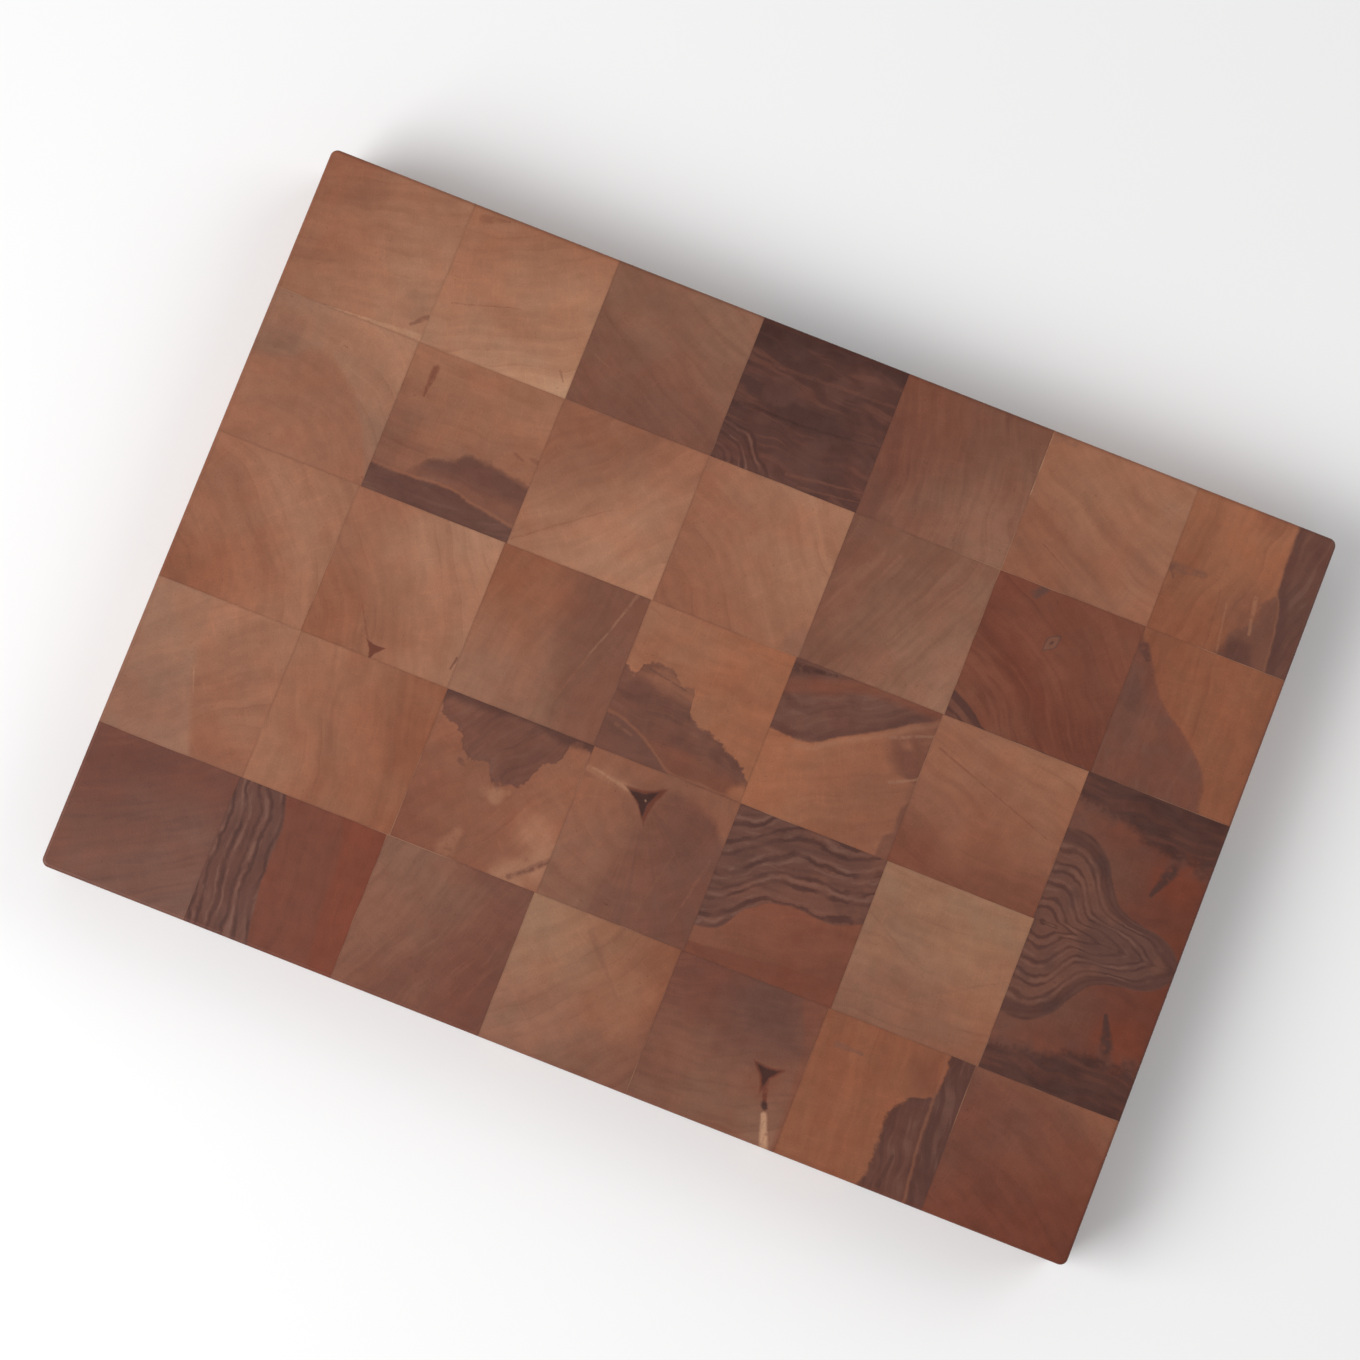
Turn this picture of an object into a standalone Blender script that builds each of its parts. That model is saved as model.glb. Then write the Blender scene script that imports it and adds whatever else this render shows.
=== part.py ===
"""End-grain cutting board, glued up from thirty-five hardwood blocks.

How the real one is made, and how this file follows it:
  1. Strips of hardwood are glued side by side into a panel, as thick as a row of the board is deep.
  2. The panel is cross-cut into slices, and each slice is tipped up so that its end grain faces up.
     A slice is then one row of the board: seven blocks, with their fibres standing along Z.
  3. Five slices are glued together. They never line up perfectly, so the short joints step a little.
  4. The slab is trimmed square, its four corners are rounded and its edges are eased.
Every block is therefore cut out of one finished slab, so that its outer faces carry the rounding.

Frame: metres, +Z up, +X along the board's length, origin in the middle of the underside.
Row 1 lies along the +Y edge and column 1 along the -X edge.
"""
import math

import bmesh
import bpy
from mathutils import Matrix, Vector

# The slab
BOARD_LENGTH = 0.420
BOARD_WIDTH = 0.300
BOARD_THICKNESS = 0.040
CORNER_RADIUS = 0.003
CORNER_SEGMENTS = 6
ARRIS_RADIUS = 0.0012
ARRIS_SEGMENTS = 3

# The strips and slices
COLUMNS = 7
ROWS = 5
STRIP_WIDTH = 0.0605
STRIP_HEIGHT = 0.0607
FIRST_COLUMN_WIDTH = 0.0593
SLICE_SHIFTS = (0.0004, 0.0002, -0.0004, 0.0, -0.0008)

# The glued joints
JOINT_GAP = 0.0003
GLUE_THICKNESS = 0.0001
GLUE_SETBACK = 0.0004

# Beyond every face of the slab: where the outermost cells of the grid end
OUTSIDE = 0.020
SMOOTH_ANGLE = math.radians(35)
WELD_DISTANCE = 0.000001

# The kinds of wood, as linear colours, and where each lies. The rows and columns are the board's own.
WOOD_COLOURS = {
    "tan": (0.33, 0.15, 0.09),
    "orange": (0.31, 0.12, 0.055),
    "red": (0.19, 0.06, 0.033),
    "grey": (0.22, 0.115, 0.075),
    "pale": (0.30, 0.18, 0.12),
    "dark": (0.075, 0.035, 0.028),
    "zoned": (0.15, 0.075, 0.06),
}
WOOD_GRID = (
    ("tan", "tan", "grey", "dark", "red", "tan", "orange"),
    ("pale", "orange", "tan", "tan", "grey", "red", "orange"),
    ("tan", "tan", "grey", "orange", "orange", "red", "zoned"),
    ("pale", "tan", "orange", "grey", "zoned", "pale", "zoned"),
    ("grey", "red", "grey", "tan", "grey", "orange", "red"),
)
WOOD_ROUGHNESS = 0.5
GLUE_COLOUR = (0.62, 0.42, 0.27)
GLUE_ROUGHNESS = 0.4


def clear_scene():
    """Remove every object, so that the script can be run twice in one file."""
    for old in list(bpy.data.objects):
        bpy.data.objects.remove(old, do_unlink=True)


def plain_material(name, colour, roughness):
    """A Principled material of one colour."""
    material = bpy.data.materials.new(name)
    material.use_nodes = True
    shader = material.node_tree.nodes["Principled BSDF"]
    shader.inputs["Base Color"].default_value = (*colour, 1.0)
    shader.inputs["Roughness"].default_value = roughness
    shader.inputs["Metallic"].default_value = 0.0
    material.diffuse_color = (*colour, 1.0)
    return material


def object_from_bmesh(name, bm, material):
    """Turn a bmesh into a named, smooth-shaded object in the scene."""
    bmesh.ops.recalc_face_normals(bm, faces=bm.faces)
    mesh = bpy.data.meshes.new(name)
    bm.to_mesh(mesh)
    bm.free()
    mesh.shade_smooth()
    mesh.set_sharp_from_angle(angle=SMOOTH_ANGLE)
    mesh.materials.append(material)
    made = bpy.data.objects.new(name, mesh)
    bpy.context.scene.collection.objects.link(made)
    return made


def add_box(bm, low, high):
    """Add a box between two corners."""
    low = Vector(low)
    high = Vector(high)
    size = high - low
    place = Matrix.Translation((low + high) / 2) @ Matrix.Diagonal((*size, 1.0))
    bmesh.ops.create_cube(bm, size=1.0, matrix=place)


def is_upright(edge):
    """True for an edge that runs along Z."""
    span = edge.verts[0].co - edge.verts[1].co
    return math.hypot(span.x, span.y) < WELD_DISTANCE


def is_level(edge):
    """True for an edge that lies in the top or the bottom of the slab."""
    return abs(edge.verts[0].co.z - edge.verts[1].co.z) < WELD_DISTANCE


def finished_slab():
    """The whole board as one bmesh: rounded corners, then eased edges top and bottom."""
    bm = bmesh.new()
    add_box(
        bm,
        (-BOARD_LENGTH / 2, -BOARD_WIDTH / 2, 0.0),
        (BOARD_LENGTH / 2, BOARD_WIDTH / 2, BOARD_THICKNESS),
    )
    corners = [edge for edge in bm.edges if is_upright(edge)]
    bmesh.ops.bevel(
        bm,
        geom=corners,
        offset=CORNER_RADIUS,
        segments=CORNER_SEGMENTS,
        profile=0.5,
        affect="EDGES",
        material=-1,
    )
    arrises = [edge for edge in bm.edges if is_level(edge)]
    bmesh.ops.bevel(
        bm,
        geom=arrises,
        offset=ARRIS_RADIUS,
        segments=ARRIS_SEGMENTS,
        profile=0.5,
        affect="EDGES",
        material=-1,
    )
    return bm


def column_joints(row):
    """X of each side of the row's blocks, from outside the -X edge to outside the +X edge."""
    first = -BOARD_LENGTH / 2 + FIRST_COLUMN_WIDTH + SLICE_SHIFTS[row]
    inner = [first + STRIP_WIDTH * step for step in range(COLUMNS - 1)]
    edge = BOARD_LENGTH / 2 + OUTSIDE
    return [-edge, *inner, edge]


def row_joints():
    """Y of each side of the rows, from outside the +Y edge down to outside the -Y edge."""
    first = STRIP_HEIGHT * (ROWS - 2) / 2
    inner = [first - STRIP_HEIGHT * step for step in range(ROWS - 1)]
    edge = BOARD_WIDTH / 2 + OUTSIDE
    return [edge, *inner, -edge]


def cell(row, column, shrink):
    """Low and high X and Y of one block's cell, drawn in from the joints' middles by shrink."""
    across = column_joints(row)
    down = row_joints()
    low = (across[column] + shrink, down[row + 1] + shrink)
    high = (across[column + 1] - shrink, down[row] - shrink)
    return low, high


def saw(bm, point, outward):
    """Cut away everything beyond a plane and close the cut."""
    cut = bmesh.ops.bisect_plane(
        bm,
        geom=[*bm.verts, *bm.edges, *bm.faces],
        dist=WELD_DISTANCE,
        plane_co=point,
        plane_no=outward,
        clear_outer=True,
    )
    rim = [item for item in cut["geom_cut"] if isinstance(item, bmesh.types.BMEdge)]
    bmesh.ops.holes_fill(bm, edges=rim, sides=0)


def make_block(row, column):
    """One block, sawn out of the finished slab on each side that meets a neighbour."""
    name = f"block_row{row + 1}_col{column + 1}"
    low, high = cell(row, column, JOINT_GAP / 2)
    bm = finished_slab()
    if column > 0:
        saw(bm, (low[0], 0.0, 0.0), (-1.0, 0.0, 0.0))
    if column < COLUMNS - 1:
        saw(bm, (high[0], 0.0, 0.0), (1.0, 0.0, 0.0))
    if row < ROWS - 1:
        saw(bm, (0.0, low[1], 0.0), (0.0, -1.0, 0.0))
    if row > 0:
        saw(bm, (0.0, high[1], 0.0), (0.0, 1.0, 0.0))
    kind = WOOD_GRID[row][column]
    material = plain_material(f"{name}_{kind}_wood", WOOD_COLOURS[kind], WOOD_ROUGHNESS)
    return object_from_bmesh(name, bm, material)


def score(bm, faces, point, direction):
    """Split some faces along a plane, keeping both sides."""
    edges = {edge for face in faces for edge in face.edges}
    verts = {vert for face in faces for vert in face.verts}
    bmesh.ops.bisect_plane(
        bm,
        geom=[*verts, *edges, *faces],
        dist=WELD_DISTANCE,
        plane_co=point,
        plane_no=direction,
    )


def faces_between(bm, axis, low, high):
    """The faces whose middles lie between two values of one axis."""
    return [face for face in bm.faces if low < face.calc_center_median()[axis] < high]


def score_glue_sheet(bm):
    """Mark both sides of every joint's glue on a flat sheet."""
    film = GLUE_THICKNESS / 2
    for joint in row_joints()[1:-1]:
        for side in (joint - film, joint + film):
            score(bm, bm.faces[:], (0.0, side, 0.0), (0.0, 1.0, 0.0))
    for row in range(ROWS):
        above, below = row_joints()[row : row + 2]
        for joint in column_joints(row)[1:-1]:
            for side in (joint - film, joint + film):
                band = faces_between(bm, 1, below - GLUE_THICKNESS, above + GLUE_THICKNESS)
                score(bm, band, (side, 0.0, 0.0), (1.0, 0.0, 0.0))


def make_glue():
    """All the cured glue as one lattice: a scored sheet, less its pockets, drawn up to its height."""
    half_length = BOARD_LENGTH / 2 - GLUE_SETBACK
    half_width = BOARD_WIDTH / 2 - GLUE_SETBACK
    bm = bmesh.new()
    sheet_size = Matrix.Diagonal((half_length, half_width, 1.0, 1.0))
    lift = Matrix.Translation((0.0, 0.0, GLUE_SETBACK))
    bmesh.ops.create_grid(bm, x_segments=1, y_segments=1, size=1.0, matrix=lift @ sheet_size)
    score_glue_sheet(bm)

    pockets = []
    for row in range(ROWS):
        for column in range(COLUMNS):
            low, high = cell(row, column, GLUE_THICKNESS / 2)
            in_row = set(faces_between(bm, 1, low[1], high[1]))
            pockets += in_row.intersection(faces_between(bm, 0, low[0], high[0]))
    bmesh.ops.delete(bm, geom=pockets, context="FACES")

    raised = bmesh.ops.extrude_face_region(bm, geom=bm.faces[:])
    top = [item for item in raised["geom"] if isinstance(item, bmesh.types.BMVert)]
    height = BOARD_THICKNESS - 2 * GLUE_SETBACK
    bmesh.ops.translate(bm, verts=top, vec=(0.0, 0.0, height))
    material = plain_material("cured_glue", GLUE_COLOUR, GLUE_ROUGHNESS)
    return object_from_bmesh("glue_lines", bm, material)


def main():
    """Build the board: five rows of seven blocks, and the glue between them."""
    clear_scene()
    for row in range(ROWS):
        for column in range(COLUMNS):
            make_block(row, column)
    make_glue()


main()
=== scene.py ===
# %% [markdown]
# # An end-grain cutting board
# The board is a butcher's block in small: thirty-five square blocks of one reddish hardwood, stood on
# end and glued in five rows of seven. Its shape is simple, so nearly all of its looks are in the wood.
# Each block was cut from a different stick, so each has its own colour, its own rings and sometimes a
# stain, a knot or the pith of the tree. This script first loads the plain model, then sets up the
# camera, light and floor, then makes the blocks, and then spends most of its length on the wood.

import math

import bmesh
import bpy
from mathutils import Matrix, Vector


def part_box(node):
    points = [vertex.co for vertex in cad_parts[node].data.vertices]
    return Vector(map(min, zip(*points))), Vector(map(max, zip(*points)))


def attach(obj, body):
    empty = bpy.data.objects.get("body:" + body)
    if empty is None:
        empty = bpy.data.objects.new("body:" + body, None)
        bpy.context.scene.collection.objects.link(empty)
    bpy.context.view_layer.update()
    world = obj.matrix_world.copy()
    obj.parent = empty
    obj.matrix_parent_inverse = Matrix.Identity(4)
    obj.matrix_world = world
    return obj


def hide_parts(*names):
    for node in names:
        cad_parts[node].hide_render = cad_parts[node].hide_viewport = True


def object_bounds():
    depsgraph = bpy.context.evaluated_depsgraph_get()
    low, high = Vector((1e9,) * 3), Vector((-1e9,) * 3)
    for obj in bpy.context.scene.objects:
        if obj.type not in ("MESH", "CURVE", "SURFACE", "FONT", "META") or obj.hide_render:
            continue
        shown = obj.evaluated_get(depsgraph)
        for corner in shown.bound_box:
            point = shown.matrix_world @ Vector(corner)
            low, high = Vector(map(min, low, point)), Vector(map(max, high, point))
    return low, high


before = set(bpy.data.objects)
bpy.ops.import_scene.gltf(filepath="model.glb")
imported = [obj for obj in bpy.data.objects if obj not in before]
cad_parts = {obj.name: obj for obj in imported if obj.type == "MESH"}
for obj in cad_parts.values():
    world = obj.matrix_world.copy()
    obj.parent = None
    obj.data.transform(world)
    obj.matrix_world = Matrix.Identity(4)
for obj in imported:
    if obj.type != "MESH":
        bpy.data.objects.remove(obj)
cad_low, cad_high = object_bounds()
board_length, board_width, board_thickness = cad_high - cad_low
print("board, metres:", round(board_length, 4), round(board_width, 4), round(board_thickness, 4))

# %% [markdown]
# ## Camera
# The board is seen from almost straight above, through a long lens, and it lies turned by a little
# under a quarter of a right angle. A camera looks down its own -Z with +Y up. It could be aimed with a
# tracking constraint, but three turns are easier to read back: two small leans and one roll. The lens
# is long, so the board's sides stay close to parallel.

# %% Camera
CAMERA_LENS = 103.4
CAMERA_PLACE = Vector((0.0024, -0.1506, 1.537))
CAMERA_LEAN = math.radians(5.69)
CAMERA_SIDEWAYS = math.radians(-1.79)
CAMERA_ROLL = math.radians(21.35)

camera_data = bpy.data.cameras.new("camera")
camera_data.lens = CAMERA_LENS
camera = bpy.data.objects.new("camera", camera_data)
camera.location = CAMERA_PLACE
camera.rotation_euler = (CAMERA_LEAN, CAMERA_SIDEWAYS, CAMERA_ROLL)
bpy.context.scene.collection.objects.link(camera)
bpy.context.scene.camera = camera
print("camera height above the board, metres:", round(CAMERA_PLACE.z - board_thickness, 3))

# %% [markdown]
# ## Light
# Wood looks truest under a large, soft light. A single lamp would give the eased edges a hard glint, so
# one big panel stands low on the board's -X, -Y side, where it catches the edges nearest to it and
# leaves the opposite ones darker. A second, weaker panel fills from the other side, and a pale sky
# fills the rest. The Standard view keeps the wood's own colours, where a film-like view would wash the
# reds out.

# %% Light
KEY_WATTS = 46.0
KEY_PLACE = (-1.3, -1.0, 1.5)
FILL_WATTS = 13.0
FILL_PLACE = (1.5, 1.2, 1.6)
PANEL_SIZE = 1.6
SKY_STRENGTH = 0.42
SKY_WHITE = (1.0, 1.0, 1.0, 1.0)


def soft_panel(name, place, watts):
    """A square area light that faces the board's middle."""
    data = bpy.data.lights.new(name, "AREA")
    data.shape = "SQUARE"
    data.size = PANEL_SIZE
    data.energy = watts
    light = bpy.data.objects.new(name, data)
    light.location = place
    light.rotation_euler = (-Vector(place)).to_track_quat("-Z", "Y").to_euler()
    bpy.context.scene.collection.objects.link(light)
    print(f"{name} panel: {watts} W")


soft_panel("key", KEY_PLACE, KEY_WATTS)
soft_panel("fill", FILL_PLACE, FILL_WATTS)

world = bpy.data.worlds.new("pale room")
world.use_nodes = True
sky = world.node_tree.nodes["Background"]
sky.inputs["Color"].default_value = SKY_WHITE
sky.inputs["Strength"].default_value = SKY_STRENGTH
bpy.context.scene.world = world
bpy.context.scene.view_settings.view_transform = "Standard"

# %% [markdown]
# ## Floor
# The board lies on a plain pale table. A grid of one face is enough for that, and it is wide, so that
# its far edge stays out of most views.

# %% Floor
FLOOR_HALF = 3.0
FLOOR_GREY = (0.86, 0.86, 0.86, 1.0)
FLOOR_ROUGHNESS = 0.9

floor_mesh = bpy.data.meshes.new("floor")
floor_shape = bmesh.new()
bmesh.ops.create_grid(floor_shape, x_segments=1, y_segments=1, size=FLOOR_HALF)
floor_shape.to_mesh(floor_mesh)
floor_shape.free()
floor = bpy.data.objects.new("floor", floor_mesh)
floor_finish = bpy.data.materials.new("pale floor")
floor_finish.use_nodes = True
floor_shader = floor_finish.node_tree.nodes["Principled BSDF"]
floor_shader.inputs["Base Color"].default_value = FLOOR_GREY
floor_shader.inputs["Roughness"].default_value = FLOOR_ROUGHNESS
floor_mesh.materials.append(floor_finish)
bpy.context.scene.collection.objects.link(floor)
print("floor, metres across:", FLOOR_HALF * 2)

# %% [markdown]
# ## The finished slab
# On the real board the glued slab is trimmed, and then its corners are rounded and its edges are eased,
# so one smooth curve runs across several blocks. Each block could be bevelled by itself, but then its
# rounding would not line up with its neighbours'. The slab is therefore shaped whole, with one bevel
# for the upright corners and a second for the level edges.

# %% The finished slab
CORNER_RADIUS = 0.003
CORNER_SEGMENTS = 12
ARRIS_RADIUS = 0.0012
ARRIS_SEGMENTS = 5
SAME_PLACE = 0.000001


def upright(edge):
    """True for an edge that runs along Z."""
    return (edge.verts[0].co - edge.verts[1].co).xy.length < SAME_PLACE


def level(edge):
    """True for an edge at one height."""
    return abs(edge.verts[0].co.z - edge.verts[1].co.z) < SAME_PLACE


def round_off(shape, edges, radius, segments):
    """Round some edges."""
    bmesh.ops.bevel(
        shape,
        geom=edges,
        offset=radius,
        segments=segments,
        profile=0.5,
        affect="EDGES",
        material=-1,
    )


slab = bmesh.new()
slab_size = Matrix.Diagonal((board_length, board_width, board_thickness, 1.0))
slab_place = Matrix.Translation((cad_low + cad_high) / 2)
bmesh.ops.create_cube(slab, size=1.0, matrix=slab_place @ slab_size)
round_off(slab, [edge for edge in slab.edges if upright(edge)], CORNER_RADIUS, CORNER_SEGMENTS)
round_off(slab, [edge for edge in slab.edges if level(edge)], ARRIS_RADIUS, ARRIS_SEGMENTS)
print("slab faces:", len(slab.faces))

# %% [markdown]
# ## Where the joints run
# The plain model leaves a narrow gap in each joint and fills it with the film of glue. On the real
# board the blocks meet so tightly that only a hairline shows. Here each block reaches to the middle of
# its joints, less half a hairline, and the glue is painted on the blocks' own rims. A film of glue as
# thin as this could be a piece of its own, but it would be too thin to hold any detail.

# %% Where the joints run
ROWS = range(1, 6)
COLUMNS = range(1, 8)
HALF_HAIRLINE = 0.00001


def node_name(row, column):
    """The plain model's name for a block."""
    return f"block_row{row}_col{column}"


joint_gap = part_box(node_name(1, 2))[0].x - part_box(node_name(1, 1))[1].x
print("gap in the plain model's joints, mm:", round(joint_gap * 1000, 3))


def cell_of(row, column):
    """Low and high corner of a block, out to the middle of each joint."""
    low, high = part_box(node_name(row, column))
    reach = joint_gap / 2
    if column > COLUMNS[0]:
        low.x -= reach
    if column < COLUMNS[-1]:
        high.x += reach
    if row > ROWS[0]:
        high.y += reach
    if row < ROWS[-1]:
        low.y -= reach
    return low, high


# %% [markdown]
# ## The saw
# A block can be cut from a copy of the slab with boolean objects, but a flat cut needs no more than
# `bisect_plane`, which clears everything beyond the plane. It leaves the cut open, so `holes_fill`
# closes it with one flat face. Flat faces stay flat shaded and the curved ones are smooth. An edge
# that touches a flat face is marked sharp, because otherwise the shading of the rounding would bend
# towards the cut and the highlight along the board's edge would look scalloped.

# %% The saw
FLAT_FACE = 0.9999


def saw(shape, point, outward):
    """Cut away what lies beyond a plane and close the cut."""
    cut = bmesh.ops.bisect_plane(
        shape,
        geom=[*shape.verts, *shape.edges, *shape.faces],
        dist=SAME_PLACE,
        plane_co=point,
        plane_no=outward,
        clear_outer=True,
    )
    rim = [item for item in cut["geom_cut"] if isinstance(item, bmesh.types.BMEdge)]
    bmesh.ops.holes_fill(shape, edges=rim, sides=0)


def saw_out(row, column):
    """The shape of one block, cut from a copy of the slab."""
    low, high = cell_of(row, column)
    shape = slab.copy()
    if column > COLUMNS[0]:
        saw(shape, (low.x + HALF_HAIRLINE, 0, 0), (-1, 0, 0))
    if column < COLUMNS[-1]:
        saw(shape, (high.x - HALF_HAIRLINE, 0, 0), (1, 0, 0))
    if row > ROWS[0]:
        saw(shape, (0, high.y - HALF_HAIRLINE, 0), (0, 1, 0))
    if row < ROWS[-1]:
        saw(shape, (0, low.y + HALF_HAIRLINE, 0), (0, -1, 0))
    bmesh.ops.recalc_face_normals(shape, faces=shape.faces)
    for face in shape.faces:
        face.smooth = max(abs(part) for part in face.normal) < FLAT_FACE
    for edge in shape.edges:
        edge.smooth = all(face.smooth for face in edge.link_faces)
    return shape


# %% [markdown]
# ## The thirty-five blocks
# The blocks were glued one by one, and they stay separate pieces here, so each can have a wood of its
# own. They could be cut into one mesh with thirty-five materials, but then no block could be picked up
# or replaced.


def sawn_block(row, column):
    """One block of the board as an object, in place of its plain model."""
    name = f"wood_row{row}_col{column}"
    mesh = bpy.data.meshes.new(name)
    shape = saw_out(row, column)
    shape.to_mesh(mesh)
    shape.free()
    block = bpy.data.objects.new(name, mesh)
    bpy.context.scene.collection.objects.link(block)
    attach(block, "root")
    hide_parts(node_name(row, column), "glue_lines")
    return block


blocks = {(row, column): sawn_block(row, column) for row in ROWS for column in COLUMNS}
slab.free()
print("blocks sawn:", len(blocks), " faces:", sum(len(b.data.polygons) for b in blocks.values()))

# %% [markdown]
# ## Writing nodes as sums
# A block's finish is a tree of sixty to two hundred small nodes. They could be wired up one link at a time,
# but that is long and hard to follow, so this helper turns each node into one call that returns its
# output, and a tree reads like a sum.

# %% The node helper
VECTOR = "NodeSocketVector"
FLOAT = "NodeSocketFloat"
COLUMN_WIDTH = 200
ROW_HEIGHT = 220
NODES_IN_COLUMN = 6


class Nodes:
    """Writes a node tree as short sums: each call adds a node and returns what comes out of it."""

    def __init__(self, tree):
        self.tree = tree

    def put(self, kind, values, output=0, **settings):
        """Add a node, give it its settings, and feed its inputs."""
        node = self.tree.nodes.new(kind)
        for name, setting in settings.items():
            setattr(node, name, setting)
        for socket, value in values.items():
            self.feed(node.inputs[socket], value)
        count = len(self.tree.nodes)
        node.location.x = COLUMN_WIDTH * (count // NODES_IN_COLUMN)
        node.location.y = -ROW_HEIGHT * (count % NODES_IN_COLUMN)
        return node.outputs[output]

    def feed(self, socket, value):
        """Link an output to a socket, or write a plain value on it."""
        if isinstance(value, bpy.types.NodeSocket):
            self.tree.links.new(value, socket)
        else:
            socket.default_value = value

    def math(self, operation, *values):
        """A Math node, such as ADD or POWER."""
        return self.put("ShaderNodeMath", dict(enumerate(values)), operation=operation)

    def vector(self, operation, *values, output=0):
        """A Vector Math node."""
        return self.put("ShaderNodeVectorMath", dict(enumerate(values)), output, operation=operation)

    def ramp(self, value, low, high, start=0.0, end=1.0):
        """A smooth climb from start to end while value goes from low to high."""
        values = {"Value": value, "From Min": low, "From Max": high, "To Min": start, "To Max": end}
        return self.put("ShaderNodeMapRange", values, interpolation_type="SMOOTHSTEP")

    def noise(self, place, scale, detail=2.0):
        """Noise between 0 and 1, with a mean of a half."""
        values = {"Vector": place, "Scale": scale, "Detail": detail}
        return self.put("ShaderNodeTexNoise", values)

    def swing(self, place, scale, amount, detail=2.0):
        """Noise that swings as far below zero as above it."""
        centred = self.math("SUBTRACT", self.noise(place, scale, detail), 0.5)
        return self.math("MULTIPLY", centred, amount)

    def split(self, vector):
        """The X, Y and Z of a vector."""
        outputs = self.put("ShaderNodeSeparateXYZ", {0: vector}).node.outputs
        return outputs[0], outputs[1], outputs[2]

    def join(self, x, y, z=0.0):
        """A vector from its X, Y and Z."""
        return self.put("ShaderNodeCombineXYZ", {0: x, 1: y, 2: z})

    def flat(self, place):
        """A place with its height left out."""
        return self.vector("MULTIPLY", place, (1.0, 1.0, 0.0))

    def mix(self, amount, first, second, blend="MIX"):
        """One colour laid over another."""
        values = {0: amount, 6: first, 7: second}
        return self.put("ShaderNodeMix", values, 2, data_type="RGBA", blend_type=blend)

    def group(self, tree, output, **values):
        """A node group, with its inputs given by name."""
        return self.put("ShaderNodeGroup", values, output, node_tree=tree)


# %% [markdown]
# ## Node groups
# A pattern that many blocks share, such as the growth rings, would make every tree long if it were
# written out in each. A node group holds it once, and each block only passes in its own pith, width or
# turn.

# %% An empty node group
def new_group(name, inputs, outputs):
    """An empty node group: its tree, its node helper, what it is given and what it must fill."""
    tree = bpy.data.node_groups.new(name, "ShaderNodeTree")
    for label, kind in inputs.items():
        tree.interface.new_socket(label, in_out="INPUT", socket_type=kind)
    for label, kind in outputs.items():
        tree.interface.new_socket(label, in_out="OUTPUT", socket_type=kind)
    given = tree.nodes.new("NodeGroupInput").outputs
    result = tree.nodes.new("NodeGroupOutput").inputs
    return tree, Nodes(tree), given, result


# %% [markdown]
# ## Growth rings
# A tree grows one ring a year around its pith, and the end of a stick shows a small piece of those
# circles: nearly straight lines when the pith was far away, and tight arcs when it was close. Blender's
# Wave texture can draw rings, but all of them alike. This group measures the distance to the pith, lets
# it wander a little, and cuts it into years, so each year can be as dark as it likes. A ring goes from
# pale early wood to a thin darker line of late wood.

# %% Growth rings
WANDER_SCALE = 1.7
RIPPLE_SCALE = 9.0
RIPPLE = 0.012
LATE_WOOD = 6.0
YEAR_END = 0.94
PATCH_SCALE = 2.6

rings_group, nodes, given, result = new_group(
    "growth rings",
    {"Place": VECTOR, "Pith": VECTOR, "Count": FLOAT, "Wander": FLOAT},
    {
        "Line": FLOAT, "Band": FLOAT, "Ray": FLOAT, "Fleck": FLOAT,
        "Streak": FLOAT, "Spoke": FLOAT, "Swell": FLOAT,
    },
)
away = nodes.vector("SUBTRACT", nodes.flat(given["Place"]), given["Pith"])
distance = nodes.vector("LENGTH", away, output=1)
wobble = nodes.math("MULTIPLY", nodes.swing(given["Place"], WANDER_SCALE, 1.0), given["Wander"])
wobble = nodes.math("ADD", wobble, nodes.swing(given["Place"], RIPPLE_SCALE, RIPPLE))
age = nodes.math("ADD", distance, wobble)
years = nodes.math("MULTIPLY", age, given["Count"])
season = nodes.math("FRACT", years)
harshness = nodes.put("ShaderNodeTexWhiteNoise", {"W": nodes.math("FLOOR", years)}, noise_dimensions="1D")
late = nodes.math("POWER", season, LATE_WOOD)
late = nodes.math("MULTIPLY", late, harshness)
late = nodes.math("MULTIPLY", late, nodes.ramp(season, 1.0, YEAR_END))
patch = nodes.ramp(nodes.noise(given["Place"], PATCH_SCALE), 0.36, 0.64)
nodes.feed(result["Line"], nodes.math("MULTIPLY", late, patch))
print("growth rings:", len(rings_group.nodes), "nodes")

# %% [markdown]
# ## Along and across the rings
# Colour runs along the rings in bands and fine streaks, and rays, thin cells that grow outwards from
# the pith, cross them as short pale dashes. All of these are noise that is stretched one way. Stretched
# along X or Y, it would not bend with the rings, so its place is given as an age and a distance round
# the pith. That distance jumps on the -X side of the pith, where one turn ends and the next begins, so
# the patterns have a seam there. It is kept out of sight: a pith on a block's +X side never stands level
# with the block, and in the one block with its pith inside, a pale crack runs beside the seam and hides
# it. Height counts for very little in a block's place, so on the sides of the board the same patterns
# run up and down, as long grain does.

# %% Along and across the rings
BLOCK_MIDDLE = (0.5, 0.5, 0.0)

away_x, away_y, _ = nodes.split(away)
angle = nodes.math("ARCTAN2", away_y, away_x)
to_middle = nodes.vector("DISTANCE", given["Pith"], BLOCK_MIDDLE, output=1)
turned = nodes.math("MULTIPLY", angle, to_middle)
_, _, up = nodes.split(given["Place"])


def stretched(outward, outward_scale, round_the_pith, round_scale):
    """Noise with one scale outwards from the pith and another round it."""
    first = nodes.math("MULTIPLY", outward, outward_scale)
    second = nodes.math("MULTIPLY", round_the_pith, round_scale)
    return nodes.noise(nodes.join(first, second, up), 1.0)


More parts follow.
